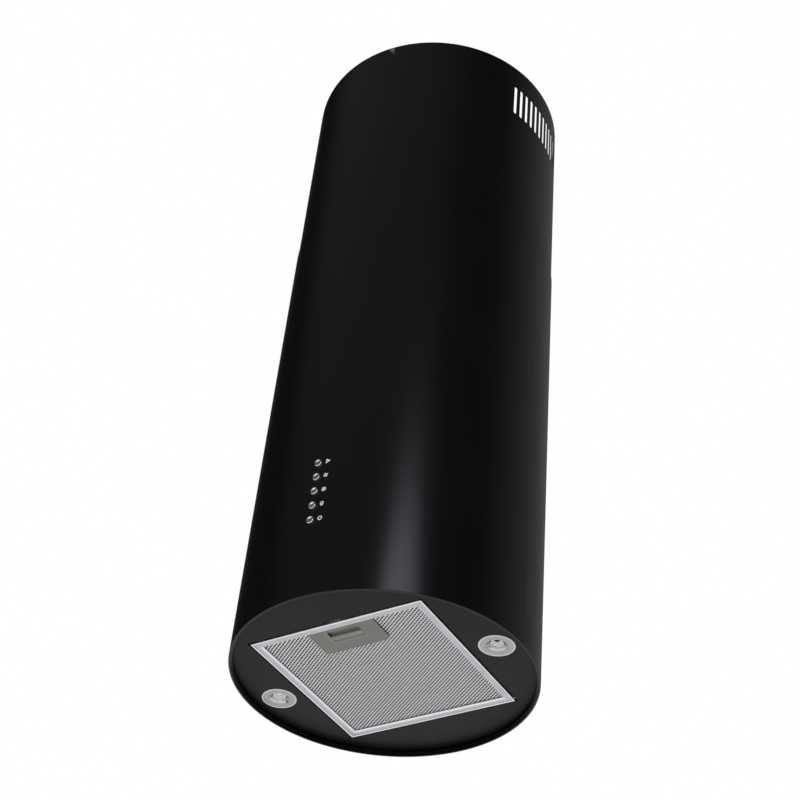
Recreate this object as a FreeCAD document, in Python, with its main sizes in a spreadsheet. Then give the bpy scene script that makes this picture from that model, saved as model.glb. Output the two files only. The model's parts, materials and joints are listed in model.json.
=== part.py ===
import FreeCAD, Part
import math
import os
import re

import Sketcher

# Island range hood: a round casing that hangs on a telescopic frame under the ceiling.
# Frame: +Z up, the push buttons face -Y, origin at the centre of the ceiling mounting face.
# Levels are written from the bottom rim upwards, and rim() turns them into heights below the ceiling.

os.makedirs("parts", exist_ok=True)
doc = FreeCAD.newDocument("island_range_hood")
Vector = FreeCAD.Vector

SIZES = (
    ("drop", 935, "ceiling to bottom rim"),
    ("tube_radius", 175, "outside of the casing"),
    ("shell_height", 631, "casing, rim to top edge"),
    ("skin", 0.7, "sheet of casing and chimney"),
    ("tube_gap", 0.3, "radial gap between casing and chimney"),
    ("seat_gap", 0.2, "gap between curved faces that are welded or seated"),
    ("slide_gap", 0.3, "gap between flat faces that slide"),
    ("chimney_overlap", 121, "chimney cover inside the casing"),
    ("hem_depth", 2.4, "width of the hem's lower face"),
    ("hem_height", 3.9, "underside of the hem's inner lip"),
    ("hem_lip", 1.5, "width of the hem's inner lip"),
    ("hem_round", 0.9, "outer rounding of the hem"),
    ("edge_round", 0.3, "outer rounding of the casing's top edge"),
    ("pan_level", 8.2, "underside of the pan"),
    ("pan_sheet", 0.8, "sheet of the pan"),
    ("pan_flange", 6, "height of the pan's turned-up edge"),
    ("pan_bend", 2, "outer bend of the pan's edge"),
    ("vent_count", 12, "slots in a group"),
    ("vent_pitch", 3.65, "degrees from slot to slot"),
    ("vent_width", 5, "slot"),
    ("vent_length", 57, "slot, end to end"),
    ("vent_drop", 41, "ceiling to the top of the slots"),
    ("screw_drop", 7.5, "ceiling to the chimney screws"),
    ("screw_radius", 2.1, "chimney screws"),
    ("screw_head", 3.9, "radius of a chimney screw's head"),
    ("screw_head_tall", 2, "height of a chimney screw's head"),
    ("screw_reach", 11, "chimney screw inside the chimney"),
    ("screw_nut", 4.5, "radius of a chimney screw's nut"),
    ("screw_nut_tall", 3.6, "nut of a chimney screw"),
    ("screw_turn", 8, "degrees of the chimney screws from the front and back"),
    ("bracket_half", 104, "ceiling bracket, centre to outer flange"),
    ("bracket_sheet", 2, "sheet of the ceiling bracket"),
    ("bracket_flange", 32, "depth of the bracket's flanges"),
    ("duct_hole_half", 78, "half of the square hole for the duct"),
    ("anchor_x", 182, "ceiling anchors, across"),
    ("anchor_y", 120, "ceiling anchors, front to back"),
    ("anchor_hole", 4, "radius of an anchor hole"),
    ("arm_width", 40, "bracket arms to the chimney"),
    ("tab_depth", 18, "depth of the arm's tab"),
    ("tab_gap", 0.8, "corners of the tab inside the chimney"),
    ("overcut", 1, "how far a cutting tool runs past what it cuts"),
    ("angle_leg", 28, "leg of the frame's angles"),
    ("angle_sheet", 1.5, "sheet of the frame's angles"),
    ("upper_end", 20, "upper uprights beyond their slots"),
    ("lower_end", 40, "lower uprights above their bolts"),
    ("frame_bolt_level", 600, "bolts that clamp the two frames"),
    ("raise", 120, "travel of the hood upwards"),
    ("lower", 80, "travel of the hood downwards"),
    ("bolt_radius", 3, "frame bolts"),
    ("bolt_clear", 0.3, "bolt in its slot"),
    ("bolt_head", 6, "radius of a bolt's head"),
    ("bolt_head_tall", 3, "height of a bolt's head"),
    ("nut_tall", 5, "frame nuts"),
    ("nut_half", 5.4, "half width of a square frame nut"),
    ("bolt_spare", 1, "bolt's end beyond its nut"),
    ("bracket_bolt_end", 3, "bracket bolt's end inside the upright"),
    ("base_gap", 3, "base plate's rim above the button module"),
    ("base_sheet", 1.5, "sheet of the base plate"),
    ("base_rim", 15, "depth of the base plate's rim"),
    ("base_hole_half", 88, "half of the base plate's air opening"),
    ("cable_hole", 16, "radius of the base plate's hole for the leads"),
    ("box_sheet", 1, "sheet of the motor box"),
    ("motor_entry", 4, "radius of the hole for the motor's terminals"),
    ("motor_entry_x", 20, "hole for the motor's terminals, to the left"),
    ("motor_entry_lift", 20, "that hole above the terminal box's underside"),
    ("box_height", 216.5, "motor box"),
    ("collar_bore", 73, "inner radius of the outlet collar"),
    ("collar_wall", 1.8, "wall of the outlet collar"),
    ("collar_height", 60, "outlet collar above the motor box"),
    ("collar_flange", 9, "width of the collar's flange"),
    ("collar_foot", 2, "thickness of the collar's flange"),
    ("flap_level", 22, "damper axis above the motor box"),
    ("flap_offset", 3, "damper axes from the middle"),
    ("flap_thick", 1.2, "damper flap"),
    ("flap_gap", 1.2, "flap in the collar"),
    ("knuckle", 2.2, "radius of the flap's knuckle"),
    ("flap_pin", 1.2, "radius of the flap's pivot"),
    ("pivot_gap", 0.05, "pivot in its hole"),
    ("stop_width", 3, "flap stop inside the collar"),
    ("stop_tall", 1.5, "flap stop inside the collar"),
    ("scroll_x", 48, "half width of the volute"),
    ("scroll_wall", 2, "wall of the volute"),
    ("scroll_y", 30, "volute axis behind the middle"),
    ("scroll_lift", 80.5, "volute axis above the base plate"),
    ("scroll_near", 6, "impeller to the volute at its tongue"),
    ("scroll_far", 22, "impeller to the volute at its outlet"),
    ("tongue_turn", 50, "degrees of the volute's tongue above its axis"),
    ("throat_run", 30, "volute's tongue to the outlet's rear wall"),
    ("throat_rise", 22, "volute's tongue to the foot of that wall"),
    ("inlet_lip", 8, "volute's air inlet inside the impeller's edge"),
    ("wheel_radius", 58, "impeller"),
    ("wheel_half", 42, "half width of the impeller"),
    ("blade_depth", 10, "impeller blade"),
    ("blade_thick", 1, "impeller blade"),
    ("blade_count", 32, "impeller blades"),
    ("blade_turn", 14, "degrees of a blade from the radius"),
    ("hub_radius", 9, "impeller hub"),
    ("hub_half", 12, "half length of the impeller hub"),
    ("disc_thick", 1.5, "impeller's centre disc"),
    ("band_thick", 2, "impeller's end rings"),
    ("shaft_radius", 4, "motor shaft"),
    ("motor_radius", 34, "motor"),
    ("motor_length", 36, "motor"),
    ("motor_gap", 4, "motor from the volute"),
    ("nose_length", 3, "motor's nose"),
    ("nose_radius", 15.3, "motor's nose"),
    ("shaft_grip", 28.8, "shaft inside the motor"),
    ("shaft_bore_spare", 1.2, "motor's bore beyond the shaft"),
    ("band_width", 16, "motor bracket's ring"),
    ("spider_sheet", 1.5, "motor bracket"),
    ("spider_arm", 14, "width of an arm of the motor bracket"),
    ("spider_hold", 8, "bracket's arms beyond the air inlet"),
    ("capacitor_radius", 14, "run capacitor"),
    ("capacitor_tall", 52, "run capacitor"),
    ("capacitor_front", 60, "run capacitor before the middle"),
    ("capacitor_stand", 4, "run capacitor from the box's wall"),
    ("capacitor_lift", 12, "run capacitor above the base plate"),
    ("clip_width", 12, "capacitor's clip"),
    ("clip_sheet", 1, "capacitor's clip"),
    ("terminal_width", 100, "terminal box"),
    ("terminal_depth", 35, "terminal box"),
    ("terminal_tall", 80, "terminal box"),
    ("terminal_lift", 116.5, "terminal box above the base plate"),
    ("terminal_wall", 2, "wall of the terminal box"),
    ("gland_x", 30, "cable gland, to the right"),
    ("gland_gap", 1, "gland's bore inside the hole in the box"),
    ("lead_pitch", 8, "lead to lead at the terminal box"),
    ("lead_stagger", 7, "switch lead behind the lamp leads"),
    ("gland_radius", 9, "cable gland"),
    ("gland_bore", 4.5, "radius of the gland's bore"),
    ("gland_tall", 20, "gland above the terminal box"),
    ("button_low", 101, "lowest button"),
    ("button_pitch", 20, "button to button"),
    ("button_count", 5, "push buttons"),
    ("button_radius", 4.7, "button"),
    ("button_gap", 0.3, "button in its hole"),
    ("button_proud", 2.2, "button beyond the casing"),
    ("button_dome", 1.1, "height of the button's dome"),
    ("button_flange", 6.2, "radius of the button's collar"),
    ("button_flange_thick", 1.2, "button's collar"),
    ("stem_radius", 3, "button's stem"),
    ("stem_length", 13, "button's stem"),
    ("module_half", 16, "half width of the button module"),
    ("module_inset", 2.7, "front of the button module inside the casing's outside"),
    ("module_depth", 22, "button module"),
    ("module_end", 13, "module beyond the outer buttons"),
    ("socket_depth", 8.5, "button's socket in the module"),
    ("socket_gap", 0.6, "button's collar in its socket"),
    ("module_wall", 2, "wall of the button module"),
    ("board_thick", 1.6, "switch board"),
    ("board_inset", 3, "switch board inside the module's rear"),
    ("key_half", 3, "half width of a switch on the board"),
    ("strap_half", 15, "half height of the module's bracket"),
    ("strap_sheet", 1.2, "sheet of the module's bracket"),
    ("strap_reach", 14, "module's bracket beyond the module"),
    ("spring_wire", 0.6, "wire of the button springs"),
    ("lamp_x", 142, "lamps from the middle"),
    ("lamp_ring", 20.7, "radius of the lamp's ring"),
    ("lamp_ring_thick", 0.95, "lamp's ring under the pan"),
    ("lamp_edge", 0.5, "chamfer of the lamp's ring"),
    ("lamp_hole", 18.4, "lamp hole in the pan"),
    ("lamp_can", 18, "radius of the lamp's can"),
    ("lamp_cup", 12.3, "radius of the lamp's cup at the ring"),
    ("lamp_wall", 1, "wall of the lamp's can"),
    ("lamp_tall", 46, "lamp's can"),
    ("cup_tall", 6, "lamp's cup"),
    ("clip_half", 3, "half width of a lamp clip"),
    ("clip_tall", 14, "lamp clip"),
    ("clip_foot", 8, "foot of a lamp clip"),
    ("clip_strip", 0.8, "strip of a lamp clip"),
    ("lamp_glass", 10.5, "radius of the lamp's glass"),
    ("lamp_base", 6.3, "radius of the bulb's base"),
    ("glass_lift", 1.2, "lamp's glass above the pan's underside"),
    ("glass_shoulder", 20, "bulb's shoulder above the pan's underside"),
    ("glass_base", 34, "bulb's base above the pan's underside"),
    ("filter_half", 109, "filter, centre to edge"),
    ("filter_gap", 2.2, "filter in its opening"),
    ("filter_level", 7, "filter's lower face"),
    ("filter_thick", 9, "filter"),
    ("filter_bar", 10, "width of the filter's frame"),
    ("filter_sheet", 1, "sheet of the filter's frame"),
    ("mesh_edge", 5.5, "mesh's edge inside the filter's edge, in the frame's channel"),
    ("mesh_inset", 2.6, "mesh above the frame's lower face"),
    ("mesh_sheet", 0.8, "mesh sheet"),
    ("mesh_back", 1, "rear mesh sheet inside the frame's upper flange"),
    ("pin_length", 8.4, "filter pins"),
    ("pivot_inset", 3.5, "filter pivot inside the filter's rear edge"),
    ("pivot_lift", 3.3, "filter pivot above the filter's lower face"),
    ("pivot_radius", 1.2, "filter pins"),
    ("rail_sheet", 1.2, "filter rails"),
    ("rail_height", 9.5, "filter rails"),
    ("rail_ledge", 4.7, "ledge above the filter"),
    ("handle_x", 1.3, "middle of the handle"),
    ("handle_half", 41.3, "half width of the handle plate"),
    ("handle_depth", 41.6, "handle plate"),
    ("handle_level", 8.4, "handle plate's lower face"),
    ("handle_plate", 1.2, "handle plate"),
    ("handle_round", 5, "inner corners of the handle plate"),
    ("tub_inset", 2.3, "handle's tub inside its plate"),
    ("tub_wall", 1.2, "wall of the handle's tub"),
    ("tub_roof", 15.8, "top of the handle's tub"),
    ("grip_half", 20.65, "half width of the grip opening"),
    ("grip_inset", 14.5, "grip opening inside the filter's front edge"),
    ("grip_depth", 20.6, "grip opening"),
    ("finger_depth", 10.2, "finger bar"),
    ("finger_level", 9.9, "underside of the finger bar"),
    ("finger_top", 14, "top of the finger bar"),
    ("tongue_half", 9, "half width of the latch tongue"),
    ("tongue_low", 12, "underside of the latch tongue"),
    ("tongue_high", 13.4, "top of the latch tongue"),
    ("tongue_gap", 0.4, "tongue in its slots, on each side"),
    ("notch_gap", 1, "tongue in the notch of pan and rails, on each side"),
    ("notch_depth", 2.2, "notch in the edge of the pan"),
    ("catch_sheet", 0.4, "spring catch"),
    ("catch_overlap", 7, "spring catch beyond the tongue, on each side"),
    ("catch_lift", 0.5, "spring catch above the pan"),
    ("floor_side", 3, "grip's floor beyond the opening, on each side"),
    ("floor_front", 1, "grip's floor beyond the opening, in front"),
    ("latch_wire", 0.25, "radius of the latch springs' wire"),
    ("latch_coil", 1.4, "radius of the latch springs"),
    ("latch_spring_x", 12, "latch springs from the handle's middle"),
    ("tongue_reach", 4, "latch tongue beyond the filter"),
    ("lead_radius", 2.2, "sheathed leads"),
)
NAMES = {name for name, _, _ in SIZES}
AXES = {
    "x": FreeCAD.Rotation(Vector(0, 1, 0), 90),
    "y": FreeCAD.Rotation(Vector(1, 0, 0), -90),
    "z": FreeCAD.Rotation(),
}
SIDES = (-1, 1)
TOLERANCE = 1e-6
SPIRAL_STEPS = 9
DOME_STEPS = 4
SPRING_TURNS = 4
ARC_SHARE = 0.45
LATCH_SPRING_TURNS = 8
CORNERS = ((-1, -1), (1, -1), (1, 1), (-1, 1))

sheet = doc.addObject("Spreadsheet::Sheet", "dims")
for row, (size_name, size_value, meaning) in enumerate(SIZES, start=1):
    sheet.set(f"A{row}", meaning)
    sheet.set(f"B{row}", str(size_value))
    sheet.setAlias(f"B{row}", size_name)
doc.recompute()

sub_parts = []


# ---------------------------------------------------------------- sizes and placing

def bound(expression):
    """The expression with every size's name pointed at its cell."""
    def cell(match):
        word = match.group()
        return f"dims.{word}" if word in NAMES else word
    return re.sub(r"[a-z_]+", cell, str(expression))


def size(expression):
    """The expression's present value."""
    return float(sheet.evalExpression(bound(expression)))


def rim(level):
    """Height of a level that is measured from the bottom rim."""
    return f"({level}) - drop"


def bind(thing, name, expression):
    thing.setExpression(name, bound(expression))


def place(thing, centre, axis="z"):
    """Bind the placement to three expressions, with the thing's own Z along the axis."""
    thing.Placement = FreeCAD.Placement(Vector(), AXES[axis])
    for letter, expression in zip("xyz", centre):
        bind(thing, f"Placement.Base.{letter}", expression)
    return thing


# ---------------------------------------------------------------- primitives and booleans

def box(x, y, z):
    """Block between three pairs of expressions."""
    block = doc.addObject("Part::Box", "block")
    edges = ("Length", "Width", "Height")
    for edge, (low, high) in zip(edges, (x, y, z)):
        bind(block, edge, f"({high}) - ({low})")
    return place(block, (x[0], y[0], z[0]))


def rod(radius, axis, start, length):
    """Cylinder that runs from start along the axis."""
    cylinder = doc.addObject("Part::Cylinder", "rod")
    bind(cylinder, "Radius", radius)
    bind(cylinder, "Height", length)
    return place(cylinder, start, axis)


def fuse(*pieces):
    joined = doc.addObject("Part::MultiFuse", "joined")
    joined.Shapes = list(pieces)
    joined.Refine = True
    return joined


def cut(base, *tools):
    less = doc.addObject("Part::Cut", "less")
    less.Base = base
    less.Tool = tools[0] if len(tools) == 1 else fuse(*tools)
    return less


def group(*pieces):
    together = doc.addObject("Part::Compound", "together")
    together.Links = list(pieces)
    return together


def sub_part(label, thing):
    """Name a finished piece: the label is its node."""
    thing.Label = label
    sub_parts.append(thing)
    return thing


def fixed_shape(shape):
    """A piece whose shape comes from a formula."""
    feature = doc.addObject("Part::Feature", "formed")
    feature.Shape = shape
    return feature


# ---------------------------------------------------------------- PartDesign bodies

def new_body():
    return doc.addObject("PartDesign::Body", "Body")


def datum(body, role):
    return next(item for item in body.Origin.OriginFeatures if item.Role == role)


def new_sketch(body, role, lift="0"):
    sketch = body.newObject("Sketcher::SketchObject", "Sketch")
    sketch.AttachmentSupport = (datum(body, role), [""])
    sketch.MapMode = "FlatFace"
    bind(sketch, "AttachmentOffset.Base.z", lift)
    return sketch


def held(sketch, kind, *items, expression):
    """Add a dimension to the sketch and bind it."""
    index = sketch.addConstraint(Sketcher.Constraint(kind, *items, size(expression)))
    sketch.setExpression(f"Constraints[{index}]", bound(expression))


def polygon(sketch, points):
    """Closed outline whose corners are pairs of expressions."""
    spots = [Vector(size(x), size(y), 0) for x, y in points]
    first = sketch.GeometryCount
    count = len(spots)
    for index, spot in enumerate(spots):
        sketch.addGeometry(Part.LineSegment(spot, spots[(index + 1) % count]), False)
    for index, (point, spot) in enumerate(zip(points, spots)):
        line = first + index
        after = first + (index + 1) % count
        sketch.addConstraint(Sketcher.Constraint("Coincident", line, 2, after, 1))
        ways = (("DistanceX", point[0], spot.x, -2), ("DistanceY", point[1], spot.y, -1))
        for kind, expression, value, axis in ways:
            if abs(value) < TOLERANCE:
                sketch.addConstraint(Sketcher.Constraint("PointOnObject", line, 1, axis))
            else:
                held(sketch, kind, -1, 1, line, 1, expression=expression)


def ring(sketch, x, y, radius):
    """Circle round a point on the sketch."""
    spot = Vector(size(x), size(y), 0)
    circle = Part.Circle(spot, Vector(0, 0, 1), size(radius))
    index = sketch.addGeometry(circle, False)
    held(sketch, "Radius", index, expression=radius)
    for kind, expression, value, axis in (("DistanceX", x, spot.x, -2), ("DistanceY", y, spot.y, -1)):
        if abs(value) < TOLERANCE:
            sketch.addConstraint(Sketcher.Constraint("PointOnObject", index, 3, axis))
        else:
            held(sketch, kind, -1, 1, index, 3, expression=expression)


def slot(sketch, top, bottom, half):
    """Upright slot on the sketch's own Y axis."""
    high = size(top) - size(half)
    low = size(bottom) + size(half)
    width = size(half)
    upper_circle = Part.Circle(Vector(0, high, 0), Vector(0, 0, 1), width)
    lower_circle = Part.Circle(Vector(0, low, 0), Vector(0, 0, 1), width)
    upper = sketch.addGeometry(Part.ArcOfCircle(upper_circle, 0, math.pi), False)
    lower = sketch.addGeometry(Part.ArcOfCircle(lower_circle, math.pi, 2 * math.pi), False)
    left = sketch.addGeometry(Part.LineSegment(Vector(-width, high, 0), Vector(-width, low, 0)), False)
    right = sketch.addGeometry(Part.LineSegment(Vector(width, low, 0), Vector(width, high, 0)), False)
    joins = ((upper, 2, left, 1), (left, 2, lower, 1), (lower, 2, right, 1), (right, 2, upper, 1))
    for join in joins:
        sketch.addConstraint(Sketcher.Constraint("Tangent", *join))
    sketch.addConstraint(Sketcher.Constraint("Vertical", left))
    sketch.addConstraint(Sketcher.Constraint("PointOnObject", upper, 3, -2))
    held(sketch, "Radius", upper, expression=half)
    held(sketch, "DistanceY", -1, 1, upper, 3, expression=f"({top}) - ({half})")
    held(sketch, "DistanceY", -1, 1, lower, 3, expression=f"({bottom}) + ({half})")


def pad(body, sketch, length):
    feature = body.newObject("PartDesign::Pad", "Pad")
    feature.Profile = sketch
    bind(feature, "Length", length)
    doc.recompute()
    return feature


def pocket(body, sketch, length=None, backwards=False):
    """Cut the sketch out of the body: to a depth, or through all both ways."""
    before = body.Shape.Volume
    feature = body.newObject("PartDesign::Pocket", "Pocket")
    feature.Profile = sketch
    if length is None:
        feature.Type = "ThroughAll"
        feature.SideType = "Symmetric"
    else:
        feature.Reversed = backwards
        bind(feature, "Length", length)
    doc.recompute()
    if body.Shape.Volume >= before:
        raise ValueError(f"a pocket of {body.Label} cuts nothing")
    return feature


def turned(points, centre=("0", "0", "0"), axis="z"):
    """Body turned about its own Z from corners given as (radius, height)."""
    body = new_body()
    sketch = new_sketch(body, "XZ_Plane")
    polygon(sketch, points)
    feature = body.newObject("PartDesign::Revolution", "Revolution")
    feature.Profile = sketch
    feature.ReferenceAxis = (sketch, ["V_Axis"])
    feature.Angle = 360
    doc.recompute()
    return place(body, centre, axis)


def around(body, feature, count, angle):
    """Repeat a feature about the body's own Z, evenly over the angle."""
    pattern = body.newObject("PartDesign::PolarPattern", "PolarPattern")
    pattern.Originals = [feature]
    pattern.Axis = (datum(body, "Z_Axis"), [""])
    bind(pattern, "Angle", angle)
    bind(pattern, "Occurrences", count)
    body.Tip = pattern
    doc.recompute()
    return pattern


def round_edges(body, radius, chosen):
    """Fillet the edges that the test picks."""
    base = body.Tip
    names = [f"Edge{index}" for index, edge in enumerate(body.Shape.Edges, start=1) if chosen(edge)]
    feature = body.newObject("PartDesign::Fillet", "Fillet")
    feature.Base = (base, names)
    bind(feature, "Radius", radius)
    doc.recompute()
    return feature


# ---------------------------------------------------------------- derived expressions

SHELL_BORE = "tube_radius - skin"
CHIMNEY_RADIUS = "tube_radius - skin - tube_gap"
CHIMNEY_BORE = "tube_radius - 2 * skin - tube_gap"
CHIMNEY_LENGTH = "(drop - shell_height + chimney_overlap)"
TAB_FACE = f"sqrt(({CHIMNEY_BORE}) ^ 2 - (arm_width / 2) ^ 2) - tab_gap"
UPPER_FACE = "bracket_half - bracket_sheet"
UPPER_LENGTH = "(drop - bracket_sheet - frame_bolt_level + lower + upper_end)"
LOWER_FACE = f"{UPPER_FACE} - angle_sheet - slide_gap"
LOWER_TOP = "(frame_bolt_level + lower_end)"
BOX_HALF = f"{LOWER_FACE} - angle_sheet - seat_gap"
MODULE_TOP = "button_low + (button_count - 1) * button_pitch + module_end"
MODULE_FOOT = "button_low - module_end"
BASE_LEVEL = f"{MODULE_TOP} + base_gap + base_rim"
BOX_FLOOR = f"({BASE_LEVEL} + base_sheet)"
TERMINAL_LEVEL = f"{BOX_FLOOR} + terminal_lift"
SCROLL_LEVEL = f"{BOX_FLOOR} + scroll_lift"
BOX_TOP = f"{BOX_FLOOR} + box_height"
LEADS_Y = f"({BOX_HALF} + terminal_depth / 2)"
MOTOR_ENTRY_LEVEL = f"{TERMINAL_LEVEL} + motor_entry_lift"
SCROLL_START = "wheel_radius + scroll_near"
SCROLL_END = "wheel_radius + scroll_far"
INLET_RADIUS = "(wheel_radius - inlet_lip)"
SPIDER_REACH = f"{INLET_RADIUS} + spider_hold"
MODULE_FRONT = "(tube_radius - module_inset)"
COLLAR_RADIUS = "collar_bore + collar_wall"
FLAP_LEVEL = f"{BOX_TOP} + flap_level"
PAN_TOP = "pan_level + pan_sheet"
OPENING_HALF = "filter_half + filter_gap"
FILTER_TOP = "filter_level + filter_thick"
MESH_HALF = "(filter_half - mesh_edge)"
PIVOT_Y = "filter_half - pivot_inset"
PIVOT_LEVEL = "filter_level + pivot_lift"
BUTTON_SEAT = f"{SHELL_BORE} - slide_gap - button_flange_thick"
HANDLE_FRONT = "filter_half - filter_bar + seat_gap / 2"
HANDLE_REAR = f"{HANDLE_FRONT} - handle_depth"
GRIP_START = "(filter_half - grip_inset)"
GRIP_REAR = f"{GRIP_START} - grip_depth"


# ---------------------------------------------------------------- ceiling frame

def ceiling_bracket():
    """Pressed tray with a square duct hole, four anchor holes, and an arm to each chimney screw."""
    half = "bracket_half"
    inner = UPPER_FACE
    tray = cut(
        box((f"-{half}", half), (f"-{half}", half), ("-bracket_flange", "0")),
        box((f"-({inner})", inner), (f"-({inner})", inner), ("-bracket_flange", "-bracket_sheet")),
    )
    duct = box(*(("-duct_hole_half", "duct_hole_half"),) * 2, ("-bracket_sheet - overcut", "overcut"))
    anchors = [
        rod("anchor_hole", "z", (f"{x} * anchor_x / 2", f"{y} * anchor_y / 2", "-bracket_sheet - overcut"),
            "bracket_sheet + 2 * overcut")
        for x, y in CORNERS
    ]
    bolt_holes = frame_bolt_rods("bolt_radius + bolt_clear", "bracket_flange / 2")
    arms = [bracket_arm(side) for side in SIDES]
    sub_part("ceiling_bracket", cut(fuse(tray, *arms), duct, *anchors, *bolt_holes))


def bracket_arm(side):
    """Flat arm and down-turned tab, square to the chimney screw, with a slot open at the bottom."""
    half = "arm_width / 2"
    root = "bracket_half - bracket_sheet / 2"
    low = (f"-({TAB_FACE})", f"-({root})") if side < 0 else (root, TAB_FACE)
    tab = (low[0], f"{low[0]} + bracket_sheet") if side < 0 else (f"{low[1]} - bracket_sheet", low[1])
    arm = fuse(
        box((f"-({half})", half), low, ("-bracket_sheet", "0")),
        box((f"-({half})", half), tab, ("-tab_depth", "0")),
    )
    slit = "(screw_radius + bolt_clear)"
    notched = cut(arm, box((f"-{slit}", slit), tab, ("-tab_depth - overcut", f"-screw_drop + {slit}")))
    notched.Placement = FreeCAD.Placement(Vector(), FreeCAD.Rotation(Vector(0, 0, 1), size("screw_turn")))
    bind(notched, "Placement.Rotation.Angle", "screw_turn")
    return notched


def frame_bolt_rods(radius, level_drop):
    """Eight rods across the uprights' legs, two at each corner."""
    rods = []
    middle = f"({UPPER_FACE} - angle_leg / 2)"
    start = "bracket_half + 2 * overcut"
    length = "angle_leg / 2 + 2 * overcut"
    for x, y in CORNERS:
        x_start = f"{start} - ({length})" if x > 0 else f"-({start})"
        y_start = f"{start} - ({length})" if y > 0 else f"-({start})"
        rods.append(rod(radius, "x", (x_start, f"{y} * {middle}", f"-({level_drop})"), length))
        rods.append(rod(radius, "y", (f"{x} * {middle}", y_start, f"-({level_drop})"), length))
    return rods


def bolt_with_head(axis, side, across, level, face, inner):
    """Bolt whose head sits on an outer face and whose end lies at an inner distance."""
    shank_start = inner if side > 0 else f"-({face})"
    head_start = face if side > 0 else f"-({face} + bolt_head_tall)"
    length = f"{face} - ({inner})"

    def spot(start):
        return (start, across, level) if axis == "x" else (across, start, level)

    shank = rod("bolt_radius", axis, spot(shank_start), length)
    head = rod("bolt_head", axis, spot(head_start), "bolt_head_tall")
    return fuse(shank, head)


def corner_bolts(level, face, inner):
    """Eight bolts, one through each leg of the four angles."""
    bolts = []
    middle = f"({UPPER_FACE} - angle_leg / 2)"
    for x, y in CORNERS:
        bolts.append(bolt_with_head("x", x, f"{y} * {middle}", level, face, inner))
        bolts.append(bolt_with_head("y", y, f"{x} * {middle}", level, face, inner))
    return bolts


def angle_outline(face):
    """Corners of an L section whose outer corner is at the front right."""
    inner = f"({face}) - angle_sheet"
    end = f"({face}) - angle_leg"
    return (
        (face, f"-({face})"), (face, f"-({end})"), (inner, f"-({end})"),
        (inner, f"-({inner})"), (end, f"-({inner})"), (end, f"-({face})"),
    )


def upper_uprights():
    """Four angles under the ceiling bracket, with a long slot in each leg."""
    body = new_body()
    section = new_sketch(body, "XY_Plane", f"-bracket_sheet - {UPPER_LENGTH}")
    polygon(section, angle_outline(UPPER_FACE))
    bar = pad(body, section, UPPER_LENGTH)
    around(body, bar, "4", "360")
    middle = f"({UPPER_FACE} - angle_leg / 2)"
    slot_half = "bolt_radius + bolt_clear"
    top = rim(f"frame_bolt_level + raise + {slot_half}")
    bottom = rim(f"frame_bolt_level - lower - ({slot_half})")
    cuts = []
    for role in ("XZ_Plane", "YZ_Plane"):
        for side in SIDES:
            sketch = new_sketch(body, role)
            bind(sketch, "AttachmentOffset.Base.x", f"{side} * {middle}")
            slot(sketch, top, bottom, slot_half)
            cuts.append(pocket(body, sketch))
    sub_part("upper_uprights", cut(body, *frame_bolt_rods(slot_half, "bracket_flange / 2")))


def lower_uprights():
    """Four angles that stand on the base plate inside the upper ones."""
    body = new_body()
    section = new_sketch(body, "XY_Plane", rim(BOX_FLOOR))
    polygon(section, angle_outline(LOWER_FACE))
    bar = pad(body, section, f"{LOWER_TOP} - ({BOX_FLOOR})")
    around(body, bar, "4", "360")
    holes = frame_bolt_rods("bolt_radius", "drop - frame_bolt_level")
    sub_part("lower_uprights", cut(body, *holes))


def bolts_and_nuts():
    """Bolts that hold the uprights to the bracket, and the ones that clamp the two frames."""
    end = f"{UPPER_FACE} - angle_sheet - bracket_bolt_end"
    sub_part("bracket_bolts", group(*corner_bolts("-bracket_flange / 2", "bracket_half", end)))
    outer = f"{UPPER_FACE} + seat_gap"
    inner = f"{LOWER_FACE} - angle_sheet - nut_tall - bolt_spare"
    level = rim("frame_bolt_level")
    sub_part("frame_bolts", group(*corner_bolts(level, outer, inner)))
    sub_part("frame_nuts", group(*frame_nuts(level)))


def frame_nuts(level):
    """Square nuts against the inner faces of the lower uprights."""
    nuts = []
    middle = f"({UPPER_FACE} - angle_leg / 2)"
    inner = f"{LOWER_FACE} - angle_sheet"
    for x, y in CORNERS:
        near = f"{inner} - nut_tall"
        span_x = (near, inner) if x > 0 else (f"-({inner})", f"-({near})")
        span_y = (near, inner) if y > 0 else (f"-({inner})", f"-({near})")
        high = (f"{level} - nut_half", f"{level} + nut_half")
        beside_x = (f"{x} * {middle} - nut_half", f"{x} * {middle} + nut_half")
        beside_y = (f"{y} * {middle} - nut_half", f"{y} * {middle} + nut_half")
        bore_x = rod("bolt_radius", "x", (span_x[0], f"{y} * {middle}", level), "nut_tall")
        bore_y = rod("bolt_radius", "y", (f"{x} * {middle}", span_y[0], level), "nut_tall")
        nuts.append(cut(box(span_x, beside_y, high), bore_x))
        nuts.append(cut(box(beside_x, span_y, high), bore_y))
    return nuts


# ---------------------------------------------------------------- chimney

def upper_chimney():
    """Rolled tube with a group of vent slots on each side and two screw holes."""
    body = new_body()
    section = new_sketch(body, "XY_Plane", f"-{CHIMNEY_LENGTH}")
    ring(section, "0", "0", CHIMNEY_RADIUS)
    ring(section, "0", "0", CHIMNEY_BORE)
    pad(body, section, CHIMNEY_LENGTH)
    first = new_sketch(body, "YZ_Plane")
    turn = "-vent_pitch * (vent_count - 1) / 2"
    first.AttachmentOffset = FreeCAD.Placement(Vector(), FreeCAD.Rotation(Vector(0, 1, 0), size(turn)))
    bind(first, "AttachmentOffset.Rotation.Angle", turn)
    slot(first, "-vent_drop", "-vent_drop - vent_length", "vent_width / 2")
    vents = pocket(body, first)
    around(body, vents, "vent_count", "vent_pitch * (vent_count - 1)")
    drilled = cut(body, *screw_rods("screw_radius + seat_gap", CHIMNEY_BORE, "-overcut", "skin + overcut"))
    sub_part("upper_chimney", drilled)


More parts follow.
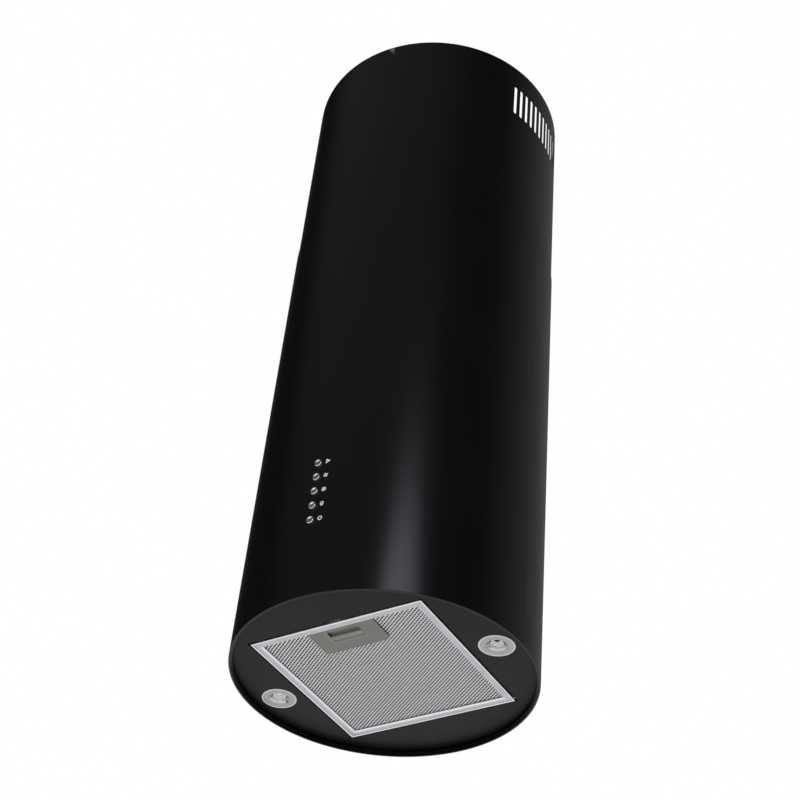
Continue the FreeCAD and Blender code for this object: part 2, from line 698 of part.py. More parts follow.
def screw_rods(radius, reach, inside, outside):
    """Rod along each chimney screw, from inside the reach to outside it."""
    rods = []
    for side in SIDES:
        bearing = "(180 + screw_turn)" if side < 0 else "(screw_turn)"
        start = f"({reach} + ({inside}))"
        pin = doc.addObject("Part::Cylinder", "screw")
        bind(pin, "Radius", radius)
        bind(pin, "Height", f"({outside}) - ({inside})")
        heading = FreeCAD.Rotation(Vector(0, 0, 1), size(bearing)) * FreeCAD.Rotation(Vector(1, 0, 0), -90)
        pin.Placement = FreeCAD.Placement(Vector(), heading)
        bind(pin, "Placement.Base.x", f"-{start} * sin({bearing})")
        bind(pin, "Placement.Base.y", f"{start} * cos({bearing})")
        bind(pin, "Placement.Base.z", "-screw_drop")
        rods.append(pin)
    return rods


def chimney_fixings():
    """Pan-head screws through the chimney into the bracket's tabs, with a nut behind each."""
    stems = screw_rods("screw_radius", CHIMNEY_BORE, "-screw_reach", "skin")
    heads = screw_rods("screw_head", CHIMNEY_RADIUS, "0", "screw_head_tall")
    sub_part("chimney_screws", group(*[fuse(stem, head) for stem, head in zip(stems, heads)]))
    face = f"({TAB_FACE} - bracket_sheet - seat_gap - ({CHIMNEY_BORE}))"
    rings = screw_rods("screw_nut", CHIMNEY_BORE, f"{face} - screw_nut_tall", face)
    end = f"{face} - screw_nut_tall - overcut"
    bores = screw_rods("screw_radius", CHIMNEY_BORE, end, f"{face} + overcut")
    sub_part("chimney_nuts", group(*[cut(nut, bore) for nut, bore in zip(rings, bores)]))


# ---------------------------------------------------------------- casing

def lower_shell():
    """Casing tube whose bottom edge is folded inwards, upwards and into a lip, with button holes."""
    inner = "tube_radius - hem_depth"
    lip = f"{inner} - hem_lip"
    floor = rim("0")
    top = rim("shell_height")
    body = turned((
        ("tube_radius", floor), ("tube_radius", top), (SHELL_BORE, top), (SHELL_BORE, rim("skin")),
        (f"{inner} + skin", rim("skin")), (f"{inner} + skin", rim("hem_height + skin")),
        (lip, rim("hem_height + skin")), (lip, rim("hem_height")),
        (inner, rim("hem_height")), (inner, floor),
    ))
    round_edges(body, "hem_round", is_circle(size("tube_radius"), size(floor)))
    round_edges(body, "hem_round - skin", is_circle(size(SHELL_BORE), size(rim("skin"))))
    round_edges(body, "edge_round", is_circle(size("tube_radius"), size(top)))
    sub_part("lower_shell", cut(body, *button_holes()))


def is_circle(radius, height):
    """Test for a round edge of this radius about Z at this height."""
    def test(edge):
        curve = edge.Curve
        if not isinstance(curve, Part.Circle):
            return False
        return abs(curve.Radius - radius) < TOLERANCE and abs(curve.Center.z - height) < TOLERANCE
    return test


def button_levels():
    return [f"(button_low + {index} * button_pitch)" for index in range(int(size("button_count")))]


def button_holes():
    """Rods through the casing's front at each button."""
    start = "-tube_radius - overcut"
    return [
        rod("button_radius + button_gap", "y", ("0", start, rim(level)), "skin + 3 * overcut")
        for level in button_levels()
    ]


def bottom_pan():
    """Recessed pan with a turned-up edge, the filter's opening and two lamp holes."""
    beyond = "pan_level + pan_sheet + overcut"
    edge = f"{SHELL_BORE} - seat_gap"
    inside = f"{edge} - pan_sheet"
    floor = rim("pan_level")
    top = rim("pan_level + pan_flange")
    body = turned((
        ("0", floor), (edge, floor), (edge, top), (inside, top), (inside, rim(PAN_TOP)), ("0", rim(PAN_TOP)),
    ))
    round_edges(body, "pan_bend", is_circle(size(edge), size(floor)))
    round_edges(body, "pan_bend - pan_sheet", is_circle(size(inside), size(rim(PAN_TOP))))
    half = OPENING_HALF
    opening = box(*((f"-({half})", half),) * 2, (rim("0"), rim(beyond)))
    notch = box(("-tongue_half - notch_gap", "tongue_half + notch_gap"),
                (f"-({half} + notch_depth)", f"-({half}) + overcut"), (rim("0"), rim(beyond)))
    lamp_holes = [rod("lamp_hole", "z", (f"{side} * lamp_x", "0", rim("0")), beyond) for side in SIDES]
    sub_part("bottom_pan", cut(body, opening, notch, *lamp_holes))


def filter_rails():
    """Square frame of angle on the pan: it guides the filter, holds its pins and stops its top."""
    inner = OPENING_HALF
    outer = f"({inner} + rail_sheet)"
    ledge = f"({inner} - rail_ledge)"
    foot = rim(PAN_TOP)
    top = rim(f"{PAN_TOP} + rail_height")
    frame = box(*((f"-{outer}", outer),) * 2, (foot, top))
    well = box(*((f"-({inner})", inner),) * 2, (f"{foot} - overcut", f"{top} - rail_sheet"))
    window = box(*((f"-{ledge}", ledge),) * 2, (f"{foot} - overcut", f"{top} + overcut"))
    notch = box(("-tongue_half - notch_gap", "tongue_half + notch_gap"),
                (f"-{outer} - overcut", f"-({inner}) + overcut"),
                (f"{foot} - overcut", rim("tongue_high + tongue_gap")))
    sub_part("filter_rails", cut(frame, well, window, notch, pin_bore(outer)))


def pin_bore(reach):
    """Rod along the filter's pivot, out to the reach on both sides."""
    start = (f"-{reach} - overcut", PIVOT_Y, rim(PIVOT_LEVEL))
    return rod("pivot_radius + pivot_gap", "x", start, f"2 * ({reach} + overcut)")


def filter_catch():
    """Spring strip across the rails' notch, just under the latch tongue."""
    face = f"({OPENING_HALF} + rail_sheet)"
    reach = "tongue_half + catch_overlap"
    strip = box((f"-({reach})", reach), (f"-{face} - catch_sheet", f"-{face}"),
                (rim(f"{PAN_TOP} + catch_lift"), rim("tongue_low - seat_gap")))
    sub_part("filter_catch", strip)


def base_plate():
    """Disc welded into the casing: it carries the uprights and the motor box."""
    radius = f"({SHELL_BORE} - seat_gap)"
    low = rim(f"{BASE_LEVEL} - base_rim + base_sheet")
    body = turned((
        ("0", rim(BASE_LEVEL)), (f"{radius} - base_sheet", rim(BASE_LEVEL)),
        (f"{radius} - base_sheet", low), (radius, low), (radius, rim(BOX_FLOOR)), ("0", rim(BOX_FLOOR)),
    ))
    half = "base_hole_half"
    foot = rim(f"{BASE_LEVEL} - overcut")
    opening = box(*((f"-{half}", half),) * 2, (foot, rim(f"{BOX_FLOOR} + overcut")))
    centre = ("0", f"{LEADS_Y} + lead_stagger / 3", foot)
    leads_hole = rod("cable_hole", "z", centre, "base_sheet + 2 * overcut")
    sub_part("base_plate", cut(body, opening, leads_hole))


# ---------------------------------------------------------------- motor box and blower

def motor_box():
    """Sheet box between the uprights, open to the filter below, with the outlet hole on top."""
    half = BOX_HALF
    inner = f"({half} - box_sheet)"
    foot = rim(BOX_FLOOR)
    top = rim(BOX_TOP)
    walls = box(*((f"-({half})", half),) * 2, (foot, top))
    hollow = box(*((f"-{inner}", inner),) * 2, (f"{foot} - overcut", f"{top} - box_sheet"))
    outlet = rod("collar_bore", "z", ("0", "0", f"{top} - box_sheet - overcut"), "box_sheet + 2 * overcut")
    entry = motor_entry_rod("box_sheet")
    sub_part("motor_box", cut(walls, hollow, outlet, entry))


def motor_entry_rod(inside):
    """Hole from the motor box into the terminal box, which starts inside the rear wall."""
    start = ("-motor_entry_x", f"{BOX_HALF} - {inside} - overcut", rim(MOTOR_ENTRY_LEVEL))
    return rod("motor_entry", "y", start, f"{inside} + terminal_wall + 2 * overcut")


def scroll_outline(start, end, lift):
    """Spiral round the volute's axis, with the outlet duct that rises to the motor box's roof."""
    centre_y = size("scroll_y")
    centre_z = size(rim(SCROLL_LEVEL))
    top = size(rim(f"{BOX_TOP} - box_sheet")) + lift
    turn = size("tongue_turn")

    def on_circle(radius, degrees):
        angle = math.radians(degrees)
        return Vector(0, centre_y + radius * math.cos(angle), centre_z + radius * math.sin(angle))

    shares = [step / SPIRAL_STEPS for step in range(SPIRAL_STEPS + 1)]
    spiral = [on_circle(start + (end - start) * share, -180 * share) for share in shares]
    curve = Part.BSplineCurve()
    curve.interpolate(spiral)
    tongue = on_circle(start, turn)
    middle = on_circle(start, turn / 2)
    rear = tongue.y - size("throat_run")
    roof_front = Vector(0, spiral[-1].y, top)
    roof_rear = Vector(0, rear, top)
    throat = Vector(0, rear, tongue.z + size("throat_rise"))
    edges = [
        Part.Arc(tongue, middle, spiral[0]).toShape(), curve.toShape(),
        Part.LineSegment(spiral[-1], roof_front).toShape(),
        Part.LineSegment(roof_front, roof_rear).toShape(),
        Part.LineSegment(roof_rear, throat).toShape(), Part.LineSegment(throat, tongue).toShape(),
    ]
    return Part.Face(Part.Wire(edges))


def scroll_block(grow, half, lift):
    """The scroll outline, widened by grow and drawn out to both sides of the middle."""
    face = scroll_outline(size(SCROLL_START) + grow, size(SCROLL_END) + grow, lift)
    block = face.extrude(Vector(2 * half, 0, 0))
    block.translate(Vector(-half, 0, 0))
    return block


def volute_half(label, side):
    """Half of the volute, split at the middle of the wheel, with half of its round top flange."""
    wall = size("scroll_wall")
    half = size("scroll_x")
    roof = size(rim(f"{BOX_TOP} - box_sheet"))
    flange = Part.makeCylinder(size("collar_bore + collar_flange"), wall, Vector(0, 0, roof - wall))
    shell = scroll_block(0, half, 0).fuse(flange).cut(scroll_block(-wall, half - wall, wall))
    level = size(rim(SCROLL_LEVEL))
    reach = 4 * half
    mouth_start = Vector(-reach / 2, size("scroll_y"), level)
    shell = shell.cut(Part.makeCylinder(size(INLET_RADIUS), reach, mouth_start, Vector(1, 0, 0)))
    keep = Part.makeBox(reach, 2 * reach, 2 * reach, Vector(0, -reach, level - reach))
    if side < 0:
        keep.translate(Vector(-reach, 0, 0))
    sub_part(label, fixed_shape(shell.common(keep)))


def drum(radius, low, high):
    """Plain cylinder about Z between two heights."""
    return Part.makeCylinder(radius, high - low, Vector(0, 0, low))


def impeller():
    """Double-inlet wheel: centre disc, hub, two end rings and a cage of leaning blades."""
    radius = size("wheel_radius")
    half = size("wheel_half")
    depth = size("blade_depth")
    thick = size("blade_thick")
    band_thick = size("band_thick")
    disc = drum(radius, -size("disc_thick") / 2, size("disc_thick") / 2)
    hub = drum(size("hub_radius"), -size("hub_half"), size("hub_half"))
    pieces = [hub]
    for low in (-half, half - band_thick):
        pieces.append(drum(radius, low, low + band_thick).cut(drum(radius - depth, low, low + band_thick)))
    count = int(size("blade_count"))
    for index in range(count):
        corner = Vector(-depth, -thick / 2, -half + band_thick / 2)
        blade = Part.makeBox(depth - thick / 2, thick, 2 * half - band_thick, corner)
        blade.rotate(Vector(), Vector(0, 0, 1), size("blade_turn"))
        blade.translate(Vector(radius - thick / 2, 0, 0))
        blade.rotate(Vector(), Vector(0, 0, 1), 360 * index / count)
        pieces.append(blade)
    wheel = disc.multiFuse(pieces).cut(drum(size("shaft_radius"), -half, half))
    wheel.rotate(Vector(), Vector(0, 1, 0), 90)
    wheel.translate(Vector(0, size("scroll_y"), size(rim(SCROLL_LEVEL))))
    sub_part("impeller", fixed_shape(wheel))


def motor():
    """Motor beside the right inlet, its bracket and its shaft."""
    start = "scroll_x + motor_gap"
    centre = ("scroll_y", rim(SCROLL_LEVEL))
    can = rod("motor_radius", "x", (start, *centre), "motor_length")
    nose = rod("nose_radius", "x", (f"{start} - nose_length", *centre), "nose_length + overcut")
    bore_start = f"{start} - nose_length - overcut"
    bore_length = "nose_length + overcut + shaft_grip + shaft_bore_spare"
    bore = rod("shaft_radius + pivot_gap", "x", (bore_start, *centre), bore_length)
    sub_part("motor", cut(fuse(can, nose), bore))
    end = "-hub_half - overcut"
    sub_part("motor_shaft", rod("shaft_radius", "x", (end, *centre), f"{start} + shaft_grip - ({end})"))
    motor_bracket(centre)


def motor_bracket(centre):
    """Ring round the motor with three arms that reach the volute's side."""
    start = "scroll_x"
    outer = rod("motor_radius + spider_sheet + seat_gap", "x", (start, *centre), "band_width")
    bore = rod("motor_radius + seat_gap", "x", (f"{start} - overcut", *centre), "band_width + 2 * overcut")
    arms = [spider_arm(start, centre, turn) for turn in (90, 210, 330)]
    sub_part("motor_bracket", cut(fuse(outer, *arms), bore))


def spider_arm(start, centre, turn):
    """Flat arm from the motor axis outwards, turned about that axis."""
    half = "spider_arm / 2"
    arm = doc.addObject("Part::Box", "arm")
    bind(arm, "Length", "spider_sheet")
    bind(arm, "Width", "spider_arm")
    bind(arm, "Height", SPIDER_REACH)
    arm.Placement = FreeCAD.Placement(Vector(), FreeCAD.Rotation(Vector(1, 0, 0), turn - 90))
    bind(arm, "Placement.Base.x", start)
    bind(arm, "Placement.Base.y", f"{centre[0]} - {half} * sin({turn})")
    bind(arm, "Placement.Base.z", f"{centre[1]} + {half} * cos({turn})")
    return arm


def run_capacitor():
    """Capacitor in a corner of the motor box, in a clip on the box's wall."""
    wall = f"({BOX_HALF} - box_sheet)"
    x = f"-{wall} + capacitor_radius + capacitor_stand"
    y = "-capacitor_front"
    foot = rim(f"{BOX_FLOOR} + capacitor_lift")
    sub_part("capacitor", rod("capacitor_radius", "z", (x, y, foot), "capacitor_tall"))
    low = f"{foot} + (capacitor_tall - clip_width) / 2"
    band = rod("capacitor_radius + clip_sheet + seat_gap", "z", (x, y, low), "clip_width")
    bore = rod("capacitor_radius + seat_gap", "z", (x, y, f"{low} - overcut"), "clip_width + 2 * overcut")
    half = "capacitor_radius / 2"
    stand = box((f"-{wall}", f"{x} - capacitor_radius"), (f"{y} - {half}", f"{y} + {half}"),
                (low, f"{low} + clip_width"))
    sub_part("capacitor_clip", cut(fuse(band, stand), bore))


# ---------------------------------------------------------------- outlet

def outlet_collar():
    """Round spigot for the duct, with a foot, and pivot holes for the two flaps."""
    foot = rim(BOX_TOP)
    top = rim(f"{BOX_TOP} + collar_height")
    stop = rim(f"{FLAP_LEVEL} - knuckle - seat_gap")
    body = turned((
        ("collar_bore", foot), (f"{COLLAR_RADIUS} + collar_flange", foot),
        (f"{COLLAR_RADIUS} + collar_flange", f"{foot} + collar_foot"),
        (COLLAR_RADIUS, f"{foot} + collar_foot"), (COLLAR_RADIUS, top), ("collar_bore", top),
        ("collar_bore", stop), ("collar_bore - stop_width", stop),
        ("collar_bore - stop_width", f"{stop} - stop_tall"), ("collar_bore", f"{stop} - stop_tall"),
    ))
    end = f"({COLLAR_RADIUS} + overcut)"
    starts = [(f"-{end}", f"{side} * flap_offset", rim(FLAP_LEVEL)) for side in SIDES]
    pivots = [rod("flap_pin + pivot_gap", "x", start, f"2 * {end}") for start in starts]
    sub_part("outlet_collar", cut(body, *pivots))


def damper_flap(label, side):
    """Half-round flap that lies on the collar's stop, with a knuckle and two pivots."""
    reach = size("collar_bore - flap_gap")
    offset = size("flap_offset")
    thick = size("flap_thick")
    under = size(rim(f"{FLAP_LEVEL} - knuckle"))
    disc = Part.makeCylinder(reach, thick, Vector(0, 0, under))
    keep = Part.makeBox(4 * reach, 2 * reach, 4 * thick, Vector(-2 * reach, offset, under - thick))
    half = disc.common(keep)
    half_long = math.sqrt(reach ** 2 - offset ** 2) - size("knuckle")
    axis = Vector(1, 0, 0)
    level = size(rim(FLAP_LEVEL))
    knuckle = Part.makeCylinder(size("knuckle"), 2 * half_long, Vector(-half_long, offset, level), axis)
    pin_half = size(COLLAR_RADIUS)
    pin = Part.makeCylinder(size("flap_pin"), 2 * pin_half, Vector(-pin_half, offset, level), axis)
    flap = half.multiFuse([knuckle, pin])
    if side < 0:
        flap.rotate(Vector(), Vector(0, 0, 1), 180)
    sub_part(label, fixed_shape(flap))


def terminal_box():
    """Plastic box on the rear of the motor box, its lid, and the cable gland on top."""
    face = f"({BOX_HALF})"
    half = "terminal_width / 2"
    rear = f"{face} + terminal_depth"
    foot = rim(TERMINAL_LEVEL)
    top = rim(f"{TERMINAL_LEVEL} + terminal_tall")
    wall = "terminal_wall"
    shell = box((f"-({half})", half), (face, rear), (foot, top))
    hollow = box((f"-({half} - {wall})", f"{half} - {wall}"), (f"{face} + {wall}", f"{rear} + overcut"),
                 (f"{foot} + {wall}", f"{top} - {wall}"))
    through = f"{wall} + 2 * overcut"
    inlet = rod("gland_bore + gland_gap", "z", ("gland_x", LEADS_Y, f"{top} - {wall} - overcut"), through)
    entries = (("-lead_pitch", LEADS_Y), ("0", f"{LEADS_Y} + lead_stagger"), ("lead_pitch", LEADS_Y))
    lead_holes = [
        rod("lead_radius + seat_gap", "z", (x, y, f"{foot} - overcut"), through) for x, y in entries
    ]
    sub_part("terminal_box", cut(shell, hollow, inlet, *lead_holes, motor_entry_rod("0")))
    sub_part("terminal_lid", box((f"-({half})", half), (rear, f"{rear} + {wall}"), (foot, top)))
    body = rod("gland_radius", "z", ("gland_x", LEADS_Y, top), "gland_tall")
    bore = rod("gland_bore", "z", ("gland_x", LEADS_Y, f"{top} - overcut"), "gland_tall + 2 * overcut")
    sub_part("cable_gland", cut(body, bore))


# ---------------------------------------------------------------- buttons

def switch_module():
    """Housing behind the buttons, its board, and the bracket that holds it to the casing."""
    front = f"-{MODULE_FRONT}"
    rear = f"-{MODULE_FRONT} + module_depth"
    block = box(("-module_half", "module_half"), (front, rear), (rim(MODULE_FOOT), rim(MODULE_TOP)))
    inside = "(module_half - module_wall)"
    floor = "socket_depth + module_wall"
    hollow = box((f"-{inside}", inside), (f"{front} + {floor}", f"{rear} + overcut"),
                 (rim(f"{MODULE_FOOT} + module_wall"), rim(f"{MODULE_TOP} - module_wall")))
    sockets = [
        rod("button_flange + socket_gap", "y", ("0", f"{front} - overcut", rim(level)),
            "socket_depth + overcut")
        for level in button_levels()
    ]
    guides = [
        rod("stem_radius + button_gap", "y", ("0", front, rim(level)), f"{floor} + overcut")
        for level in button_levels()
    ]
    sub_part("switch_housing", cut(block, hollow, *sockets, *guides))
    board_face = f"{rear} - board_inset"
    edge = "module_wall + seat_gap"
    board = box((f"-module_half + {edge}", f"module_half - ({edge})"),
                (board_face, f"{board_face} + board_thick"),
                (rim(f"{MODULE_FOOT} + {edge}"), rim(f"{MODULE_TOP} - ({edge})")))
    keys = [
        box(("-key_half", "key_half"), (f"{board_face} - key_half", board_face),
            (rim(f"{level} - key_half"), rim(f"{level} + key_half")))
        for level in button_levels()
    ]
    sub_part("switch_board", fuse(board, *keys))
    switch_bracket(rear)


def switch_bracket(rear):
    """Folded strip across the back of the module, with a leg to the casing on each side."""
    middle = f"(button_low + (button_count - 1) * button_pitch / 2)"
    span = (rim(f"{middle} - strap_half"), rim(f"{middle} + strap_half"))
    reach = "(module_half + strap_reach)"
    back = box((f"-{reach}", reach), (rear, f"{rear} + strap_sheet"), span)
    wall = f"({SHELL_BORE} - seat_gap)"
    length = (f"-sqrt({wall} ^ 2 - {reach} ^ 2)", f"{rear} + strap_sheet")
    left = box((f"-{reach}", f"-{reach} + strap_sheet"), length, span)
    right = box((f"{reach} - strap_sheet", reach), length, span)
    sub_part("switch_bracket", fuse(back, left, right))


def buttons():
    """Domed caps with a collar that keeps each in its hole, a stem, and a return spring."""
    for number, level in enumerate(button_levels(), start=1):
        cap = turned((
            ("0", "0"), ("stem_radius", "0"), ("stem_radius", "stem_length"),
            ("button_flange", "stem_length"), ("button_flange", "stem_length + button_flange_thick"),
            ("button_radius", "stem_length + button_flange_thick"), *dome_points(),
        ))
        cap.Placement = FreeCAD.Placement(Vector(), FreeCAD.Rotation(Vector(1, 0, 0), 90))
        bind(cap, "Placement.Base.y", f"-({BUTTON_SEAT}) + stem_length")
        bind(cap, "Placement.Base.z", rim(level))
        sub_part(f"button_{number}", cap)
        spring(f"button_spring_{number}", level)


def dome_points():
    """Outline of the cap's shallow dome, from its edge to its middle."""
    length = f"(tube_radius + button_proud - ({BUTTON_SEAT}) + stem_length)"
    shares = [step / DOME_STEPS for step in range(DOME_STEPS)]
    points = [
        (f"button_radius * {math.cos(share * math.pi / 2):.4f}",
         f"{length} - button_dome * {1 - math.sin(share * math.pi / 2):.4f}")
        for share in shares
    ]
    return points + [("0", length)]


def spring(label, level):
    """Compression spring round the stem, from the socket's floor to the button's collar."""
    wire = size("spring_wire") / 2
    start = -size(BUTTON_SEAT) + wire + size("pivot_gap")
    finish = -size(f"{MODULE_FRONT} - socket_depth") - wire - size("pivot_gap")
    radius = size("stem_radius + spring_wire + button_gap")
    shape = coil(radius, wire, finish - start, SPRING_TURNS)
    shape.rotate(Vector(), Vector(1, 0, 0), -90)
    shape.translate(Vector(0, start, size(rim(level))))
    sub_part(label, fixed_shape(shape))


def coil(radius, wire, length, turns):
    """Wire wound about Z from the origin upwards."""
    path = Part.makeLongHelix(length / turns, length, radius)
    circle = Part.Wire(Part.makeCircle(wire, Vector(radius, 0, 0), Vector(0, 1, 0)))
    return Part.Wire(path.Edges).makePipeShell([circle], True, True)


# ---------------------------------------------------------------- lamps

def lamps():
    """Two recessed lamps: ring and cup under the pan, can above it, bulb glass and spring clips."""
    places = [f"{side} * lamp_x" for side in SIDES]
    sub_part("lamp_rings", group(*[lamp_ring(x) for x in places]))
    sub_part("lamp_cans", group(*[lamp_can(x) for x in places]))
    sub_part("lamp_glasses", group(*[lamp_glass(x) for x in places]))
    sub_part("lamp_clips", group(*[lamp_clip(x, side) for x in places for side in SIDES]))


def lamp_ring(x):
    """Ring under the pan that turns up into a cup."""
    face = "-lamp_ring_thick"
    return turned((
        ("lamp_cup", face), ("lamp_ring - lamp_edge", face), ("lamp_ring", f"{face} + lamp_edge"),
        ("lamp_ring", "0"),
        ("lamp_can - lamp_wall - seat_gap", "0"), ("lamp_can - lamp_wall - seat_gap", "cup_tall"),
        ("lamp_cup", "cup_tall"),
    ), (x, "0", rim("pan_level")))


def lamp_can(x):
    """Deep-drawn can with a closed top."""
    return turned((
        ("lamp_can - lamp_wall", "0"), ("lamp_can", "0"), ("lamp_can", "lamp_tall"), ("0", "lamp_tall"),
        ("0", "lamp_tall - lamp_wall"), ("lamp_can - lamp_wall", "lamp_tall - lamp_wall"),
    ), (x, "0", rim("pan_level")))


def lamp_glass(x):
    """Bulb: domed glass that narrows into a base held by the can's top."""
    base = "lamp_tall - lamp_wall"
    return turned((
        ("0", "glass_lift"), ("lamp_glass * 0.6", "glass_lift + lamp_glass / 10"),
        ("lamp_glass * 0.9", "glass_lift + lamp_glass / 3"),
        ("lamp_glass", "glass_lift + lamp_glass * 0.65"),
        ("lamp_glass", "glass_shoulder"), ("lamp_base", "glass_base"), ("lamp_base", base), ("0", base),
    ), (x, "0", rim("pan_level")))


def lamp_clip(x, side):
    """Sheet spring on the can's side that presses on the pan from above."""
    near = "(lamp_can + pivot_gap)"
    foot = rim(PAN_TOP)
    width = (f"{x} - clip_half", f"{x} + clip_half")

    def beyond(reach):
        """Span from the can outwards, on the clip's side."""
        return (near, f"{near} + {reach}") if side > 0 else (f"-{near} - {reach}", f"-{near}")

    return fuse(
        box(width, beyond("clip_strip"), (foot, f"{foot} + clip_tall")),
        box(width, beyond("clip_foot"), (foot, f"{foot} + clip_strip")),
    )


# ---------------------------------------------------------------- grease filter

def filter_frame():
    """Four bars of channel round the mesh, slotted for the latch and drilled for the pins."""
    half = "filter_half"
    inner = "(filter_half - filter_bar)"
    channel = "(filter_half - filter_sheet)"
    low = rim("filter_level")
    high = rim(FILTER_TOP)
    block = box(*((f"-{half}", half),) * 2, (low, high))
    window = box(*((f"-{inner}", inner),) * 2, (f"{low} - overcut", f"{high} + overcut"))
    groove = box(*((f"-{channel}", channel),) * 2, (f"{low} + filter_sheet", f"{high} - filter_sheet"))
    slit = tongue_slot(f"-{half} - overcut", f"-{channel} + overcut")
    sub_part("filter_frame", cut(block, window, groove, slit, pin_bore(half)))


def tongue_slot(front, rear):
    """Clearance for the latch tongue between two places from front to back."""
    half = "(tongue_half + tongue_gap)"
    span = (rim("tongue_low - slide_gap"), rim("tongue_high + slide_gap"))
    return box((f"-{half}", half), (front, rear), span)


def filter_pins():
    """Short pins from the filter's rear corners into the rails."""
    end = f"({OPENING_HALF} + rail_sheet - pivot_gap)"
    left = rod("pivot_radius", "x", (f"-{end}", PIVOT_Y, rim(PIVOT_LEVEL)), "pin_length")
    right = rod("pivot_radius", "x", (f"{end} - pin_length", PIVOT_Y, rim(PIVOT_LEVEL)), "pin_length")
    sub_part("filter_pins", group(left, right))


def tub_span(inset):
    """The handle tub's outline, moved inwards by the inset."""
    half = f"(handle_half - tub_inset - {inset})"
    front = f"-({HANDLE_FRONT} - tub_inset / 2 - {inset})"
    rear = f"-({HANDLE_REAR} + tub_inset + {inset})"
    return (f"handle_x - {half}", f"handle_x + {half}"), (front, rear)


def mesh_layer(low, high):
    """Sheet of mesh held in the frame's channel, open where the handle's tub sits."""
    sheet_block = box(*((f"-{MESH_HALF}", MESH_HALF),) * 2, (low, high))
    across, along = tub_span("-seat_gap")
    gap = box(across, (f"-{MESH_HALF} - overcut", along[1]), (f"{low} - overcut", f"{high} + overcut"))
    return cut(sheet_block, gap)


def filter_layers():
    """Outer mesh sheets and the knitted core between them."""
    face = rim("filter_level + mesh_inset")
    back = rim(f"{FILTER_TOP} - filter_sheet - mesh_back")
    outer = mesh_layer(face, f"{face} + mesh_sheet")
    rear = mesh_layer(f"{back} - mesh_sheet", back)
    sub_part("filter_mesh", group(outer, rear))
    core = mesh_layer(f"{face} + mesh_sheet", f"{back} - mesh_sheet")
    sub_part("filter_core", core)


def filter_handle():
    """Handle plate with a tub behind it, open where the fingers go in."""
    low = rim("handle_level")
    plate_top = rim("handle_level + handle_plate")
    roof = rim("tub_roof")
    plate = handle_plate(low)
    across, along = tub_span("0")
    tub = box(across, along, (low, roof))
    inner_across, inner_along = tub_span("tub_wall")
    hollow = box(inner_across, inner_along, (plate_top, f"{roof} - tub_wall"))
    grip = box(("handle_x - grip_half", "handle_x + grip_half"), (f"-{GRIP_START}", f"-({GRIP_REAR})"),
               (f"{low} - overcut", f"{plate_top} + overcut"))
    slit = tongue_slot(f"{along[0]} - overcut", f"{inner_along[0]} + overcut")
    sub_part("filter_handle", cut(fuse(plate, tub), hollow, grip, slit))


def handle_plate(low):
    """Plate whose two inner corners are rounded."""
    body = new_body()
    section = new_sketch(body, "XY_Plane", low)
    left = "handle_x - handle_half"
    right = "handle_x + handle_half"
    polygon(section, (
        (left, f"-({HANDLE_FRONT})"), (right, f"-({HANDLE_FRONT})"),
        (right, f"-({HANDLE_REAR})"), (left, f"-({HANDLE_REAR})"),
    ))
    pad(body, section, "handle_plate")
    rear = -size(HANDLE_REAR)

    def rear_corner(edge):
        ends = edge.Vertexes
        upright = abs(ends[0].X - ends[-1].X) + abs(ends[0].Y - ends[-1].Y) < TOLERANCE
        return upright and abs(ends[0].Y - rear) < TOLERANCE

    round_edges(body, "handle_round", rear_corner)
    return body


def filter_latch():
    """Finger bar on a plate that floors the grip, with a tongue through the frame into the rails."""
    rear = f"({GRIP_REAR})"
    front = f"({rear} + finger_depth)"
    side = "(grip_half - tongue_gap)"
    bar = box((f"handle_x - {side}", f"handle_x + {side}"), (f"-{front}", f"-{rear} - slide_gap"),
              (rim("finger_level"), rim("finger_top")))
    thickness = (rim("tongue_low"), rim("tongue_high"))
    reach = "(grip_half + floor_side)"
    floor = box((f"handle_x - {reach}", f"handle_x + {reach}"),
                (f"-{GRIP_START} - floor_front", f"-{rear} - overcut"), thickness)
    tongue = box(("-tongue_half", "tongue_half"), ("-filter_half - tongue_reach", f"-{GRIP_START}"),
                 thickness)
    sub_part("filter_latch", fuse(bar, floor, tongue))


def latch_springs():
    """Two springs between the finger bar and the rear wall of the handle's tub."""
    wire = size("latch_wire")
    start = -size(f"{GRIP_REAR} + slide_gap - pivot_gap") + wire
    finish = -size(f"{HANDLE_REAR} + tub_inset + tub_wall + pivot_gap") - wire
    level = size(rim("(finger_level + finger_top) / 2"))
    springs = []
    for side in SIDES:
        shape = coil(size("latch_coil"), wire, finish - start, LATCH_SPRING_TURNS)
        shape.rotate(Vector(), Vector(1, 0, 0), -90)
        shape.translate(Vector(size("handle_x") + side * size("latch_spring_x"), start, level))
        springs.append(fixed_shape(shape))
    sub_part("latch_springs", group(*springs))


# ---------------------------------------------------------------- leads

def lead(points, radius):
    """Round lead along straight runs that are joined by tangent arcs."""
    edges = []
    last = points[0]
    for before, corner, after in zip(points, points[1:], points[2:]):
        back = (before - corner).normalize()
        ahead = (after - corner).normalize()
        half_turn = (math.pi - back.getAngle(ahead)) / 2
        trim = ARC_SHARE * min((before - corner).Length, (after - corner).Length)
        bend = trim / math.tan(half_turn)
        enter = corner + back * trim
        leave = corner + ahead * trim
        inward = (back + ahead).normalize()
        centre = corner + inward * math.hypot(bend, trim)
        middle = centre - inward * bend
        edges.append(Part.LineSegment(last, enter).toShape())
        edges.append(Part.Arc(enter, middle, leave).toShape())
        last = leave
    edges.append(Part.LineSegment(last, points[-1]).toShape())
    path = Part.Wire(edges)
    start = points[0]
    circle = Part.Wire(Part.makeCircle(radius, start, points[1] - start))
    return path.makePipeShell([circle], True, False)


